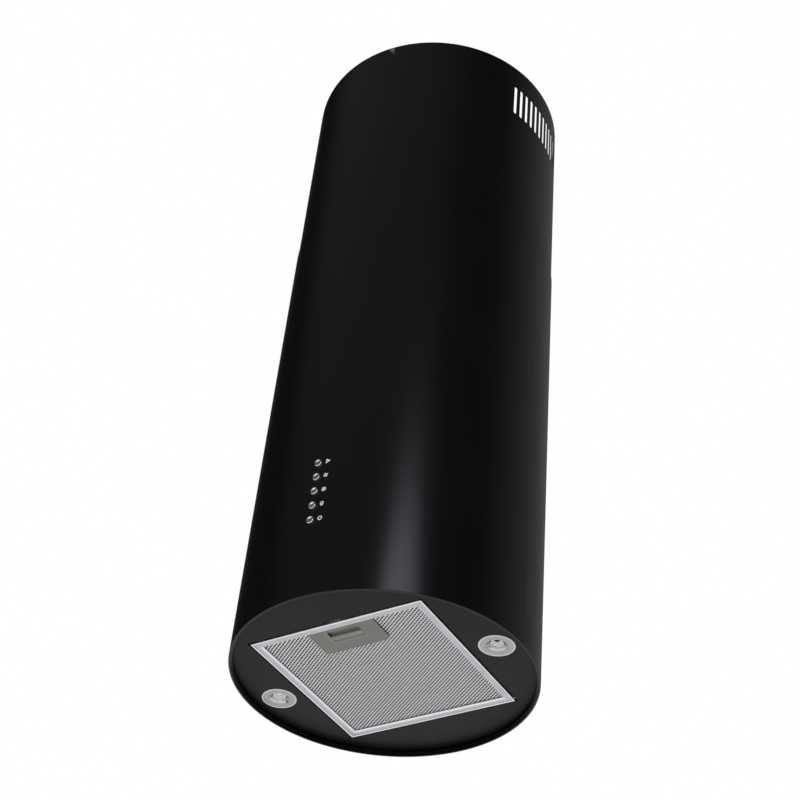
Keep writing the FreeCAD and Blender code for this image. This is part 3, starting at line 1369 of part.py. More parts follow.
def leads():
    """Lamp, switch and motor leads, which all end in the terminal box."""
    radius = size("lead_radius")
    top = size(rim("pan_level + lamp_tall"))
    lamp_x = size("lamp_x")
    under = size(rim(BASE_LEVEL)) - 4 * radius
    middle = size(LEADS_Y)
    inside = size("terminal_wall") * 2
    entry = size(rim(TERMINAL_LEVEL))
    lamp_leads = []
    for side in SIDES:
        spots = (
            Vector(side * lamp_x, 0, top), Vector(side * lamp_x, 0, top + 60),
            Vector(side * (lamp_x - 8), 52, under - 20), Vector(side * 70, middle + 2, under - 24),
            Vector(side * 9.6, middle + 3, under - 20), Vector(side * 8.5, middle, under + 44),
            Vector(side * size("lead_pitch"), middle, entry + inside),
        )
        lamp_leads.append(fixed_shape(lead(spots, radius)))
    sub_part("lamp_leads", group(*lamp_leads))
    front = -size(f"{MODULE_FRONT} - module_depth")
    spots = (
        Vector(0, front - 1.4, size(rim("button_low + 9"))),
        Vector(0, front + 14, size(rim("button_low + 9"))),
        Vector(-66, -140, under - 62), Vector(-122, -104, under - 42), Vector(-160, -30, under - 40),
        Vector(-156, 44, under - 50), Vector(-112, 116, under - 56), Vector(-44, middle + 28, under - 44),
        Vector(-1, middle + 11, under - 24), Vector(0.6, middle + 7, under + 42),
        Vector(0, middle + size("lead_stagger"), entry + inside),
    )
    sub_part("switch_lead", fixed_shape(lead(spots, radius)))


# ---------------------------------------------------------------- assembly

def build_all():
    ceiling_bracket()
    upper_uprights()
    bolts_and_nuts()
    upper_chimney()
    chimney_fixings()
    lower_shell()
    bottom_pan()
    filter_rails()
    filter_catch()
    base_plate()
    lower_uprights()
    motor_box()
    volute_half("volute_left", -1)
    volute_half("volute_right", 1)
    impeller()
    motor()
    run_capacitor()
    outlet_collar()
    damper_flap("damper_front", -1)
    damper_flap("damper_rear", 1)
    terminal_box()
    switch_module()
    buttons()
    lamps()
    filter_frame()
    filter_pins()
    filter_layers()
    filter_handle()
    filter_latch()
    latch_springs()
    leads()


def check_all():
    """Stop before anything is written if an object failed or a shape is unsound."""
    doc.recompute()
    for item in doc.Objects:
        if {"Invalid", "Error"} & set(item.State):
            raise ValueError(f"{item.Name} ({item.Label}) failed: {item.State}")
    for item in sub_parts:
        if item.Shape.isNull() or not item.Shape.isValid():
            raise ValueError(f"{item.Label} has an unsound shape")


def write_all():
    for item in sub_parts:
        item.Shape.exportStep(os.path.join("parts", f"{item.Label}.step"))


build_all()
check_all()
write_all()
print(len(sub_parts), "sub-parts written")
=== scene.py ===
import json
import math

import bpy
from mathutils import Matrix, Vector


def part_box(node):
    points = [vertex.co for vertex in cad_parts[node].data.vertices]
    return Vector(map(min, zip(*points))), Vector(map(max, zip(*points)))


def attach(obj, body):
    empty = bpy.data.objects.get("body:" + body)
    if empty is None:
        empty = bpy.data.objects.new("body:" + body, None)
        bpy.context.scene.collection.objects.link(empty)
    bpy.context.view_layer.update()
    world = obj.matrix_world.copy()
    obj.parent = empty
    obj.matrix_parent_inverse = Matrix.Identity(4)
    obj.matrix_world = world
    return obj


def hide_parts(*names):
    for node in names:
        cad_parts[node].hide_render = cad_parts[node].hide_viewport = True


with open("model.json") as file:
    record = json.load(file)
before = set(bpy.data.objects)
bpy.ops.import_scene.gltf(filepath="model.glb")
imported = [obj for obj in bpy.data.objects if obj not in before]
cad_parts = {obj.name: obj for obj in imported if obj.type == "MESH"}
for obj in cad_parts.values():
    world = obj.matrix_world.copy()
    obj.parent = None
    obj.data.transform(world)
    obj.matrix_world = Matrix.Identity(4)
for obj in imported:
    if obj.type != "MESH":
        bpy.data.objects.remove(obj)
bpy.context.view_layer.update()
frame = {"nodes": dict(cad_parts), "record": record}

MM = 0.001
TURN = 2 * math.pi
BUTTONS = range(1, 6)


# ---------------------------------------------------------------- places taken from the frame

def middle(node):
    """Centre of a CAD node's box."""
    low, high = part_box(node)
    return (low + high) / 2


shell_low, shell_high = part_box("lower_shell")
TUBE_RADIUS = (shell_high.x - shell_low.x) / 2
RIM = Vector((0, 0, shell_low.z))


def level(millimetres):
    """Height of a level measured from the hood's bottom rim."""
    return RIM.z + millimetres * MM


def toward(azimuth, elevation):
    """Unit vector at two angles in radians: azimuth 0 is in front of the hood, a quarter turn its right."""
    flat = math.cos(elevation)
    return Vector((math.sin(azimuth) * flat, -math.cos(azimuth) * flat, math.sin(elevation)))


# ---------------------------------------------------------------- camera

# Place in metres from the middle of the hood's bottom rim; lens and sensor width in millimetres.
CAMERA_FROM_RIM = Vector((0.87749, -1.32251, -0.96549))
CAMERA_AZIMUTH = math.radians(34.100)
CAMERA_ELEVATION = math.radians(-40.984)
CAMERA_ROLL = math.radians(6.044)
CAMERA_LENS = 73.772
CAMERA_SENSOR = 36


def make_camera():
    """Camera at the photograph's viewing angle, below and to the right of the hood."""
    back = toward(CAMERA_AZIMUTH, CAMERA_ELEVATION)
    level_right = Vector((0, 0, 1)).cross(back).normalized()
    level_up = back.cross(level_right)
    right = level_right * math.cos(CAMERA_ROLL) + level_up * math.sin(CAMERA_ROLL)
    up = back.cross(right)
    data = bpy.data.cameras.new("camera")
    data.lens = CAMERA_LENS
    data.sensor_width = CAMERA_SENSOR
    camera = bpy.data.objects.new("camera", data)
    bpy.context.scene.collection.objects.link(camera)
    turn = Matrix((right, up, back)).transposed().to_4x4()
    camera.matrix_world = Matrix.Translation(RIM + CAMERA_FROM_RIM) @ turn
    bpy.context.scene.camera = camera


# ---------------------------------------------------------------- node helpers

# Most values of a noise lie between these two.
NOISE_LOW = 0.3
NOISE_HIGH = 0.7
NOISE_ROUGHNESS = 0.55


class Nodes:
    """A node tree with short calls for adding and joining nodes."""

    def __init__(self, tree):
        self.tree = tree
        tree.nodes.clear()

    def add(self, kind, **settings):
        """New node of a kind, with its settings."""
        node = self.tree.nodes.new(kind)
        for name, value in settings.items():
            setattr(node, name, value)
        return node

    def join(self, source, target):
        """Link from an output to an input."""
        self.tree.links.new(source, target)

    def math(self, operation, first, second, clamp=False):
        """Result of an operation on two outputs or numbers."""
        node = self.add("ShaderNodeMath", operation=operation, use_clamp=clamp)
        for socket, value in zip(node.inputs, (first, second)):
            if hasattr(value, "links"):
                self.join(value, socket)
            else:
                socket.default_value = value
        return node.outputs[0]

    def noise(self, scale, detail, stretch=(1, 1, 1)):
        """Noise on the object's own coordinates, in features per metre."""
        place = self.add("ShaderNodeTexCoord")
        mapping = self.add("ShaderNodeMapping")
        mapping.inputs["Scale"].default_value = stretch
        noise = self.add("ShaderNodeTexNoise")
        noise.inputs["Scale"].default_value = scale
        noise.inputs["Detail"].default_value = detail
        noise.inputs["Roughness"].default_value = NOISE_ROUGHNESS
        self.join(place.outputs["Object"], mapping.inputs["Vector"])
        self.join(mapping.outputs["Vector"], noise.inputs["Vector"])
        return noise.outputs["Fac"]

    def mapped(self, source, near, far, low, high, **settings):
        """The source, from near to far, mapped onto low to high."""
        node = self.add("ShaderNodeMapRange", **settings)
        for name, value in (("From Min", near), ("From Max", far), ("To Min", low), ("To Max", high)):
            node.inputs[name].default_value = value
        self.join(source, node.inputs["Value"])
        return node.outputs["Result"]

    def between(self, noise, low, high):
        """A noise's usual range mapped onto low to high."""
        return self.mapped(noise, NOISE_LOW, NOISE_HIGH, low, high)

    def tint(self, source, low, high):
        """Colour from low to high over a noise's usual range."""
        ramp = self.add("ShaderNodeValToRGB")
        ramp.color_ramp.elements[0].position = NOISE_LOW
        ramp.color_ramp.elements[1].position = NOISE_HIGH
        ramp.color_ramp.elements[0].color = (*low, 1)
        ramp.color_ramp.elements[1].color = (*high, 1)
        self.join(source, ramp.inputs["Fac"])
        return ramp.outputs["Color"]

    def bump(self, source, strength, distance):
        """Normal of a surface that the source raises by up to a distance in metres."""
        node = self.add("ShaderNodeBump")
        node.inputs["Strength"].default_value = strength
        node.inputs["Distance"].default_value = distance
        self.join(source, node.inputs["Height"])
        return node.outputs["Normal"]


def new_material(name):
    """Empty material with a principled shader that is joined to its output."""
    material = bpy.data.materials.new(name)
    material.use_nodes = True
    nodes = Nodes(material.node_tree)
    shader = nodes.add("ShaderNodeBsdfPrincipled")
    output = nodes.add("ShaderNodeOutputMaterial")
    nodes.join(shader.outputs["BSDF"], output.inputs["Surface"])
    return material, nodes, shader


def shaded(tone, share):
    """A colour made darker or lighter by a share."""
    return tuple(min(1, channel * share) for channel in tone)


# Noise detail of the clouds in a tone, of the finer patches in its gloss and of the grain.
CLOUD_DETAIL = 4
PATCH_DETAIL = 3
GRAIN_DETAIL = 2
PATCHES_PER_CLOUD = 3.7
EVEN_SHARE = 0.5


def surface(name, tone, metallic, rough, vary=0.12, cloud=14, grain=1500, relief=0.00002,
            stretch=(1, 1, 1), rough_vary=0.06, strength=0.35, specular=0.5):
    """Material with cloudy tone, uneven gloss and a fine grain: features per metre, relief in metres."""
    material, nodes, shader = new_material(name)
    shader.inputs["Metallic"].default_value = metallic
    shader.inputs["Specular IOR Level"].default_value = specular
    clouds = nodes.noise(cloud, CLOUD_DETAIL, stretch)
    cloudy = nodes.tint(clouds, shaded(tone, 1 - vary), shaded(tone, 1 + vary))
    nodes.join(cloudy, shader.inputs["Base Color"])
    fine = nodes.noise(grain, GRAIN_DETAIL, stretch)
    patches = nodes.noise(cloud * PATCHES_PER_CLOUD, PATCH_DETAIL, stretch)
    halves = [nodes.math("MULTIPLY", noise, EVEN_SHARE) for noise in (fine, patches)]
    mixed = nodes.math("ADD", *halves)
    nodes.join(nodes.between(mixed, rough - rough_vary, rough + rough_vary), shader.inputs["Roughness"])
    nodes.join(nodes.bump(fine, strength, relief), shader.inputs["Normal"])
    return material


# ---------------------------------------------------------------- materials

ENAMEL = surface("black_enamel", (0.003, 0.003, 0.0034), 0, 0.21, vary=0.1, cloud=9, grain=700,
                 relief=0.00001, rough_vary=0.015, strength=0.12, specular=0.36)
PAN_ENAMEL = surface("pan_enamel", (0.006, 0.006, 0.0063), 0, 0.42, vary=0.1, cloud=12, grain=900,
                     relief=0.00001, rough_vary=0.03, strength=0.15, specular=0.16)
ZINC = surface("zinc_sheet", (0.46, 0.475, 0.49), 1, 0.36, vary=0.16, cloud=70, grain=900, relief=0.00001)
BOLT = surface("zinc_bolt", (0.6, 0.6, 0.57), 1, 0.3, vary=0.1, cloud=200, grain=2500)
CHROME = surface("chrome_cap", (0.75, 0.755, 0.77), 1, 0.12, vary=0.03, cloud=90, grain=1200, relief=0.000004,
                 rough_vary=0.03)
ALUMINIUM = surface("filter_aluminium", (0.61, 0.61, 0.64), 1, 0.4, vary=0.05, cloud=60, grain=2600,
                    relief=0.00001, rough_vary=0.05)
MESH_METAL = surface("mesh_aluminium", (0.95, 0.945, 0.98), 1, 0.28, vary=0.09, cloud=160, grain=2400,
                     relief=0.00001, rough_vary=0.06)
# Lighter, glossier copy of the frame's aluminium for its bead and inner roll: a painted highlight.
PAINTED_HIGHLIGHT_METAL = surface("edge_aluminium_painted_highlight", (0.95, 0.95, 0.99), 1, 0.22, vary=0.03, cloud=90, grain=2600,
                     relief=0.000006, rough_vary=0.04)
# Near-black core of the filter, seen through the mesh: painted shade that darkens the diamond holes.
PAINTED_SHADE_CORE = surface("core_painted_shade", (0.05, 0.05, 0.052), 1, 0.5, vary=0.5, cloud=420, grain=1800,
                     relief=0.0002, strength=0.9)
# Lighter copy of the handle's grey for the grip rim and the finger bar's lip: a painted highlight line.
HANDLE_PAINTED_HIGHLIGHT = surface("handle_edge_painted_highlight", (0.25, 0.25, 0.23), 0, 0.42, vary=0.04, cloud=60, grain=3800,
                      relief=0.00001)
HANDLE = surface("handle_grey", (0.185, 0.185, 0.165), 0, 0.5, vary=0.04, cloud=60, grain=3800)
BLACK_PLASTIC = surface("black_plastic", (0.018, 0.018, 0.019), 0, 0.45, vary=0.1, cloud=40, grain=3000)
GREY_PLASTIC = surface("grey_plastic", (0.3, 0.31, 0.32), 0, 0.42, vary=0.05, cloud=40, grain=3000)
BOARD = surface("board_green", (0.03, 0.16, 0.07), 0, 0.35, vary=0.15, cloud=120, grain=2600)
LAMP_SILVER = surface("lamp_silver", (0.47, 0.47, 0.475), 1, 0.36, vary=0.04, cloud=90, grain=3000,
                      relief=0.000008)
# Lighter copy of the lamp silver for the bezel's outer bead: a painted highlight.
PAINTED_HIGHLIGHT_BEAD = surface("lamp_bead_painted_highlight", (0.72, 0.72, 0.725), 1, 0.3, vary=0.03, cloud=90, grain=3000,
                    relief=0.000006)
REFLECTOR = surface("lamp_reflector", (0.7, 0.7, 0.71), 1, 0.14, vary=0.05, cloud=200, grain=900,
                    relief=0.00003)
SPRING = surface("spring_steel", (0.5, 0.5, 0.49), 1, 0.25, vary=0.08, cloud=150, grain=2500)
MOTOR = surface("motor_steel", (0.09, 0.09, 0.1), 1, 0.42, vary=0.12, cloud=80, grain=1800)
SHEATH = surface("lead_sheath", (0.03, 0.03, 0.03), 0, 0.5, vary=0.1, cloud=80, grain=2500)
CAPACITOR = surface("capacitor_can", (0.62, 0.62, 0.63), 1, 0.3, vary=0.05, cloud=60, grain=2200,
                    stretch=(1, 1, 6))
SIGN_WHITE = surface("sign_white", (0.62, 0.62, 0.62), 0, 0.5, vary=0.04, cloud=300, grain=3000)

GLASS_TONE = (0.96, 0.97, 0.98, 1)
GLASS_INDEX = 1.47
GLASS_WAVES = 220
GLASS_SPECKS = 900
GLASS_ROUGH = (0.02, 0.07)
GLASS_RELIEF = 0.1 * MM
GLASS_STRENGTH = 0.25


def glass_material():
    """Clear bulb glass with faint unevenness."""
    material, nodes, shader = new_material("bulb_glass")
    shader.inputs["Base Color"].default_value = GLASS_TONE
    shader.inputs["Transmission Weight"].default_value = 1
    shader.inputs["IOR"].default_value = GLASS_INDEX
    waves = nodes.noise(GLASS_WAVES, GRAIN_DETAIL)
    specks = nodes.noise(GLASS_SPECKS, GRAIN_DETAIL)
    nodes.join(nodes.between(specks, *GLASS_ROUGH), shader.inputs["Roughness"])
    nodes.join(nodes.bump(waves, GLASS_STRENGTH, GLASS_RELIEF), shader.inputs["Normal"])
    return material


GLASS = glass_material()

FINISH_OF_SLOT = {
    "black_enamel": ENAMEL, "zinc_sheet": ZINC, "zinc_bolt": BOLT, "chrome_cap": CHROME,
    "filter_aluminium": ALUMINIUM, "handle_grey": HANDLE, "black_plastic": BLACK_PLASTIC,
    "grey_plastic": GREY_PLASTIC, "board_green": BOARD, "bulb_glass": GLASS, "lamp_silver": LAMP_SILVER,
    "spring_steel": SPRING, "motor_steel": MOTOR, "lead_sheath": SHEATH, "capacitor_can": CAPACITOR,
}
# The filter core gets the painted shade.
FINISH_OF_NODE = {"bottom_pan": PAN_ENAMEL, "filter_rails": PAN_ENAMEL, "filter_core": PAINTED_SHADE_CORE}


def finish_nodes():
    """Give each CAD node the finish of its record slot, or its own."""
    for part in frame["record"]["subparts"]:
        node = part["node"]
        material = FINISH_OF_NODE.get(node, FINISH_OF_SLOT[part["material_slot"]])
        data = frame["nodes"][node].data
        data.materials.clear()
        data.materials.append(material)


# ---------------------------------------------------------------- pieces

def piece(name, points, faces, material, body, slot, sharp=35):
    """Mesh piece on a body; edges of more than sharp degrees stay sharp. The slot argument is not used."""
    data = bpy.data.meshes.new(name)
    data.from_pydata([tuple(point) for point in points], [], faces)
    data.validate()
    data.shade_smooth()
    data.set_sharp_from_angle(angle=math.radians(sharp))
    data.materials.append(material)
    thing = bpy.data.objects.new(name, data)
    bpy.context.scene.collection.objects.link(thing)
    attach(thing, body)
    return thing


SEGMENTS = 96
FEWER_SEGMENTS = 72


def lathe(profile, centre, segments=SEGMENTS, petals=0, petal_depth=0.0):
    """Points and faces of an outline of (radius, height) turned about Z, rippled into petals if asked."""
    points, faces, rings = [], [], []
    for radius, height in profile:
        if radius == 0:
            rings.append([len(points)] * segments)
            points.append(centre + Vector((0, 0, height)))
        else:
            rings.append(list(range(len(points), len(points) + segments)))
            for step in range(segments):
                angle = TURN * step / segments
                bulge = radius * (1 - petal_depth * abs(math.sin(petals * angle / 2)))
                points.append(centre + Vector((bulge * math.cos(angle), bulge * math.sin(angle), height)))
    for first, second in zip(rings, rings[1:]):
        for step in range(segments):
            after = (step + 1) % segments
            corners = [first[step], first[after], second[after], second[step]]
            face = [corner for place, corner in enumerate(corners) if corner not in corners[:place]]
            if len(face) > 2:
                faces.append(face)
    return points, faces


# ---------------------------------------------------------------- filter mesh

MESH_LONG = 6.0 * MM
MESH_SHORT = 4.33 * MM
MESH_RISE = 0.45 * MM
MESH_SHEET = 0.4 * MM
# Share of a diamond's length and width that its strands take up.
STRAND = 0.41
# How far inside the frame's outer edge the mesh starts, and how far its front sheet reaches under the handle.
WINDOW_INSET = 6.6 * MM
HANDLE_COVER = 3.4 * MM
# Corners of a diamond hole in the order of its points: first those of the lower side, then the upper ones.
CORNERS = range(4)
LEFT, FRONT, RIGHT, REAR = CORNERS
UPPER = len(CORNERS)


def hole_places(low, high, keep):
    """Middle of each diamond hole that is kept, by its column and row."""
    columns = int((high.x - low.x) / MESH_LONG * 2)
    rows = int((high.y - low.y) / MESH_SHORT * 2)
    start = Vector((low.x + high.x - columns * MESH_LONG / 2, low.y + high.y - rows * MESH_SHORT / 2)) / 2
    places = {}
    for column in range(columns + 1):
        for row in range(column % 2, rows + 1, 2):
            x, y = start.x + column * MESH_LONG / 2, start.y + row * MESH_SHORT / 2
            if keep(x, y):
                places[column, row] = (x, y)
    return places


def both_sides(corners):
    """A face of the sheet's lower side, and the one above it."""
    return [corners, [corner + UPPER for corner in reversed(corners)]]


def lattice(low, high, height, keep):
    """Expanded metal: diamond holes between slanted strands, as points and faces."""
    wide, tall = MESH_LONG / 2 * (1 - STRAND), MESH_SHORT / 2 * (1 - STRAND)
    offsets = ((-wide, 0, 0), (0, -tall, MESH_RISE), (wide, 0, 0), (0, tall, -MESH_RISE))
    points, faces, holes = [], [], {}
    for place, (x, y) in hole_places(low, high, keep).items():
        holes[place] = len(points)
        for lift in (0, MESH_SHEET):
            points += [(x + dx, y + dy, height + dz + lift) for dx, dy, dz in offsets]
    for (column, row), first in holes.items():
        for side in CORNERS:
            after = (side + 1) % len(CORNERS)
            faces.append([first + side, first + side + UPPER, first + after + UPPER, first + after])
        across = holes.get((column + 2, row))
        behind = holes.get((column + 1, row + 1))
        ahead = holes.get((column + 1, row - 1))
        if behind is not None:
            faces += both_sides([first + REAR, first + RIGHT, behind + FRONT, behind + LEFT])
        if ahead is not None:
            faces += both_sides([first + RIGHT, first + FRONT, ahead + LEFT, ahead + REAR])
        if None not in (across, behind, ahead):
            faces += both_sides([first + RIGHT, ahead + REAR, across + LEFT, behind + FRONT])
    return points, faces


def make_mesh():
    """Front and rear sheets of expanded metal, both cut out for the handle."""
    low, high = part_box("filter_mesh")
    handle_low, handle_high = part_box("filter_handle")
    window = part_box("filter_frame")[1].x - WINDOW_INSET

    def beside_handle(under):
        """Test for places in the window that are not more than a distance under the handle."""
        def keep(x, y):
            past = y > handle_high.y - under
            beside = not handle_low.x + under < x < handle_high.x - under
            return abs(x) < window and abs(y) < window and (past or beside)
        return keep

    front, front_faces = lattice(low, high, low.z + MESH_RISE, beside_handle(HANDLE_COVER))
    rear, rear_faces = lattice(low, high, high.z - MESH_RISE - MESH_SHEET, beside_handle(0))
    count = len(front)
    faces = front_faces + [[corner + count for corner in face] for face in rear_faces]
    sheet = piece("expanded_mesh", front + rear, faces, MESH_METAL, "filter", "filter_aluminium", sharp=20)
    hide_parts("filter_mesh")


# ---------------------------------------------------------------- filter frame

# Section of a bar: finish ('edge' for the faces in the painted highlight, 'bar' for the plain aluminium),
# place from the frame's outer edge and height above its lower face in millimetres.
FRAME_BAR = (
    ("edge", -10.1, 2.3), ("edge", -9.95, 1.75), ("edge", -9.5, 1.1), ("edge", -8.9, 0.62),
    ("bar", -8.4, 0.5), ("bar", -3.1, 0.5), ("bar", -2.8, 0.62), ("bar", -2.6, 0.95), ("bar", -2.3, 0.95),
    ("edge", -2.1, 0.55), ("edge", -1.8, 0.2), ("edge", -1.35, 0.0), ("edge", -0.8, 0.12),
    ("edge", -0.3, 0.5), ("bar", 0, 1.2), ("bar", 0, 8.2), ("bar", -0.3, 8.8), ("bar", -0.9, 9),
    ("bar", -9.4, 9), ("bar", -10, 8.8), ("bar", -10, 8), ("bar", -1.4, 8), ("bar", -1.4, 2.5),
    ("bar", -9.9, 2.5),
)
# How far each bar stops short of its mitres.
MITRE = 0.1 * MM


def make_frame():
    """Four mitred bars with a flat face, a groove, and a bead outside and roll inside that carry a painted
    highlight.
    """
    low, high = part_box("filter_frame")
    half = high.x
    points, faces, painted_highlight_faces = [], [], []
    count = len(FRAME_BAR)
    for quarter in range(4):
        turn = Matrix.Rotation(quarter * TURN / 4, 3, "Z")
        start = len(points)
        for end in (-1, 1):
            for _, inset, height in FRAME_BAR:
                out = half + inset * MM
                points.append(turn @ Vector((end * (out - MITRE), -out, low.z + height * MM)))
        for place in range(count):
            after = (place + 1) % count
            if FRAME_BAR[place][0] == "edge":
                painted_highlight_faces.append(len(faces))
            faces.append([start + place, start + after, start + count + after, start + count + place])
        faces.append([start + place for place in range(count)][::-1])
        faces.append([start + count + place for place in range(count)])
    bars = piece("frame_bars", points, faces, ALUMINIUM, "filter", "filter_aluminium", sharp=40)
    # Faces marked 'edge' get the painted highlight metal.
    bars.data.materials.append(PAINTED_HIGHLIGHT_METAL)
    for place in painted_highlight_faces:
        bars.data.polygons[place].material_index = 1
    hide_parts("filter_frame")


# ---------------------------------------------------------------- finger latch

# Sections of the latch, in millimetres behind the finger bar's front and above the hood's rim.
SCOOP = (
    (-11.7, 10.2), (-10.2, 10.25), (-8.7, 10.75), (-7.2, 11.6), (-5.7, 12.3), (-4.2, 12.65), (-2.2, 12.75),
    (-0.8, 12.7), (0.3, 12.6), (0.9, 12.4), (1.2, 9.9), (11.3, 9.75), (11.3, 10.15), (9.9, 10.2), (9.6, 11.4),
    (2.4, 11.5), (2.4, 13.2), (2.1, 13.4), (-11.7, 13.4),
)
LIP = (
    (0.3, 11), (0.12, 10), (0.1, 9.3), (0.3, 8.75), (0.75, 8.35), (1.4, 8.2), (2.1, 8.3), (2.8, 8.65),
    (3.3, 9.1), (3.7, 9.4), (4.3, 9.6), (5, 9.68), (9.55, 9.7), (9.8, 9.8), (9.9, 10.05), (9.9, 11),
)
TONGUE = ((-29, 12.25), (-28.6, 12), (-11.5, 12), (-11.5, 13.4), (-28.6, 13.4), (-29, 13.15))
FINGER_FRONT = -84.1 * MM
# How much shorter the bar's lip and the slide are at each end than the latch's box.
FINGER_SHORTER = 4.3 * MM
SLIDE_SHORTER = 3 * MM
TONGUE_HALF = 9 * MM

# The handle's grip opening, and the section of its rim: millimetres out from it and above the hood's rim.
GRIP_MIDDLE = 1.3 * MM
GRIP_HALF = 20.65 * MM
GRIP_FRONT = -94.5 * MM
GRIP_REAR = -73.9 * MM
GRIP_RIM = (
    (-0.85, 9.45), (-0.85, 9.2), (-0.6, 8.85), (-0.2, 8.45), (0.15, 8.2), (0.5, 8.1), (0.9, 8.15),
    (1.2, 8.38), (1.2, 8.5), (0.1, 8.7), (-0.1, 9.45),
)


def extruded(outline, low, high):
    """Points and faces of an outline of (backward, up) drawn along X from low to high."""
    section = [(FINGER_FRONT + back * MM, level(up)) for back, up in outline]
    points = [Vector((across, *place)) for across in (low, high) for place in section]
    count = len(outline)
    faces = [[k, (k + 1) % count, count + (k + 1) % count, count + k] for k in range(count)]
    faces += [list(range(count))[::-1], list(range(count, 2 * count))]
    return points, faces


def make_grip_rim():
    """Raised and rounded rim of the handle's grip opening."""
    points = []
    for side, end, away in ((-1, GRIP_FRONT, -1), (1, GRIP_FRONT, -1), (1, GRIP_REAR, 1), (-1, GRIP_REAR, 1)):
        for out, up in GRIP_RIM:
            across = GRIP_MIDDLE + side * (GRIP_HALF + out * MM)
            points.append(Vector((across, end + away * out * MM, level(up))))
    count = len(GRIP_RIM)
    faces = []
    for corner in range(4):
        for k in range(count):
            first, after = corner * count, (corner + 1) % 4 * count
            faces.append([first + k, after + k, after + (k + 1) % count, first + (k + 1) % count])
    # The rim takes the lighter copy of the handle's grey: a painted highlight.
    piece("grip_rim", points, faces, HANDLE_PAINTED_HIGHLIGHT, "filter", "handle_grey", sharp=60)


def make_latch():
    """Slide with a scooped floor in front of the finger bar, the bar's rounded lip, and the tongue."""
    low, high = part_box("filter_latch")
    scoop = extruded(SCOOP, low.x + SLIDE_SHORTER, high.x - SLIDE_SHORTER)
    lip = extruded(LIP, low.x + FINGER_SHORTER, high.x - FINGER_SHORTER)
    tongue = extruded(TONGUE, -TONGUE_HALF, TONGUE_HALF)
    slide = piece("latch_slide", *scoop, HANDLE, "latch", "handle_grey", sharp=40)
    # The lip takes the lighter copy of the handle's grey: a painted highlight.
    piece("finger_lip", *lip, HANDLE_PAINTED_HIGHLIGHT, "latch", "handle_grey", sharp=40)
    piece("latch_tongue", *tongue, HANDLE, "latch", "handle_grey", sharp=40)
    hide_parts("filter_latch")


# ---------------------------------------------------------------- lamps

# Sections as (share of the ring's radius, millimetres above its lower face).
BEZEL = (
    (0.585, 1.6), (0.585, 0.5), (0.6, 0.22), (0.63, 0.12), (0.8, 0.16), (0.872, 0.26), (0.892, 0.42),
    (0.912, 0.3), (0.93, 0.06), (0.95, 0), (0.97, 0.08), (0.988, 0.4), (1, 0.8), (1, 0.95),
    (0.88, 0.95), (0.86, 1.6), (0.585, 1.6),
)
BOWL = (
    (0.582, 1.0), (0.545, 2.2), (0.505, 3.6), (0.47, 4.9), (0.42, 6.6), (0.36, 8.2), (0.3, 9.4), (0.24, 10.4),
    (0, 10.6),
)
BULB_BACK = ((0.38, 6.2), (0.33, 7.6), (0.27, 8.8), (0.2, 9.6), (0.18, 10.2), (0, 10.2))
# Share of the ring's radius from which it carries the painted highlight on its bead.
PAINTED_HIGHLIGHT_START = 0.9
# Thickness of the bowl's side and end in millimetres, and its facets.
BOWL_WALL = 0.6
BOWL_END = 0.5
PETALS = 18
PETAL_DEPTH = 0.02
# The bulb's domed front: share of the ring's radius, and its depth and its back's height.
DOME_SHARE = 0.41
DOME_DEEP = 4.6 * MM
DOME_BACK = 4.9 * MM
DOME_STEPS = 10


def scaled(section, radius):
    """A section of shares and millimetres in metres, for a ring of this radius."""
    return [(share * radius, height * MM) for share, height in section]


def bowl_outline(radius):
    """Section of the thin bright bowl behind the ring, inside first."""
    outside = [(max(0, share * radius + (BOWL_WALL * MM if share else 0)), (height + BOWL_END) * MM)
               for share, height in BOWL]
    inside = scaled(BOWL, radius)
    return inside + outside[::-1] + inside[:1]


def bulb_section(radius):
    """Section of the bulb: flattened dome in front, shoulder, and neck in the bowl's end."""
    angles = [TURN / 4 * k / DOME_STEPS for k in range(DOME_STEPS + 1)]
    wide = DOME_SHARE * radius
    dome = [(wide * math.sin(angle), DOME_BACK - DOME_DEEP * math.cos(angle)) for angle in angles]
    return dome + scaled(BULB_BACK, radius)


def make_lamps():
    """Bezel with a raised bead in a painted highlight, bright reflector bowl and domed bulb, one of each per
    lamp.
    """
    ring_low, ring_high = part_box("lamp_rings")
    radius = (ring_high.y - ring_low.y) / 2
    for side, tag in ((-1, "left"), (1, "right")):
        centre = Vector((side * (ring_high.x - radius), 0, ring_low.z))
        bezel = lathe(scaled(BEZEL, radius), centre)
        ring = piece("bezel_" + tag, *bezel, LAMP_SILVER, "hood_body", "lamp_silver")
        # The outer bead gets the lighter copy of the lamp silver: a painted highlight.
        ring.data.materials.append(PAINTED_HIGHLIGHT_BEAD)
        for polygon in ring.data.polygons:
            polygon.material_index = int((polygon.center - centre).xy.length > PAINTED_HIGHLIGHT_START * radius)
        bowl = lathe(bowl_outline(radius), centre, FEWER_SEGMENTS, PETALS, PETAL_DEPTH)
        piece("bowl_" + tag, *bowl, REFLECTOR, "hood_body", "lamp_silver")
        glass = lathe(bulb_section(radius), centre)
        bulb = piece("bulb_" + tag, *glass, GLASS, "hood_body", "bulb_glass")
        # Each of these CAD nodes holds both lamps, so one piece stands in for it.
        if side < 0:
            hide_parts("lamp_rings")
            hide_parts("lamp_glasses")


# ---------------------------------------------------------------- button caps

# In millimetres. The finger dish is part of a sphere; the rest are (radius, depth behind the front).
DISH_RADIUS = 6.1
DISH_EDGE = math.radians(36)
DISH_SUNK = 0.1
DISH_STEPS = 8
CAP_ROLL = ((3.78, 0.03), (4.0, 0), (4.22, 0.08), (4.45, 0.28), (4.62, 0.6), (4.7, 1.0))
CAP_BACK = ((4.7, 3.2), (6.2, 3.2), (6.2, 4.4), (3, 4.4), (3, 17.4), (0, 17.4))


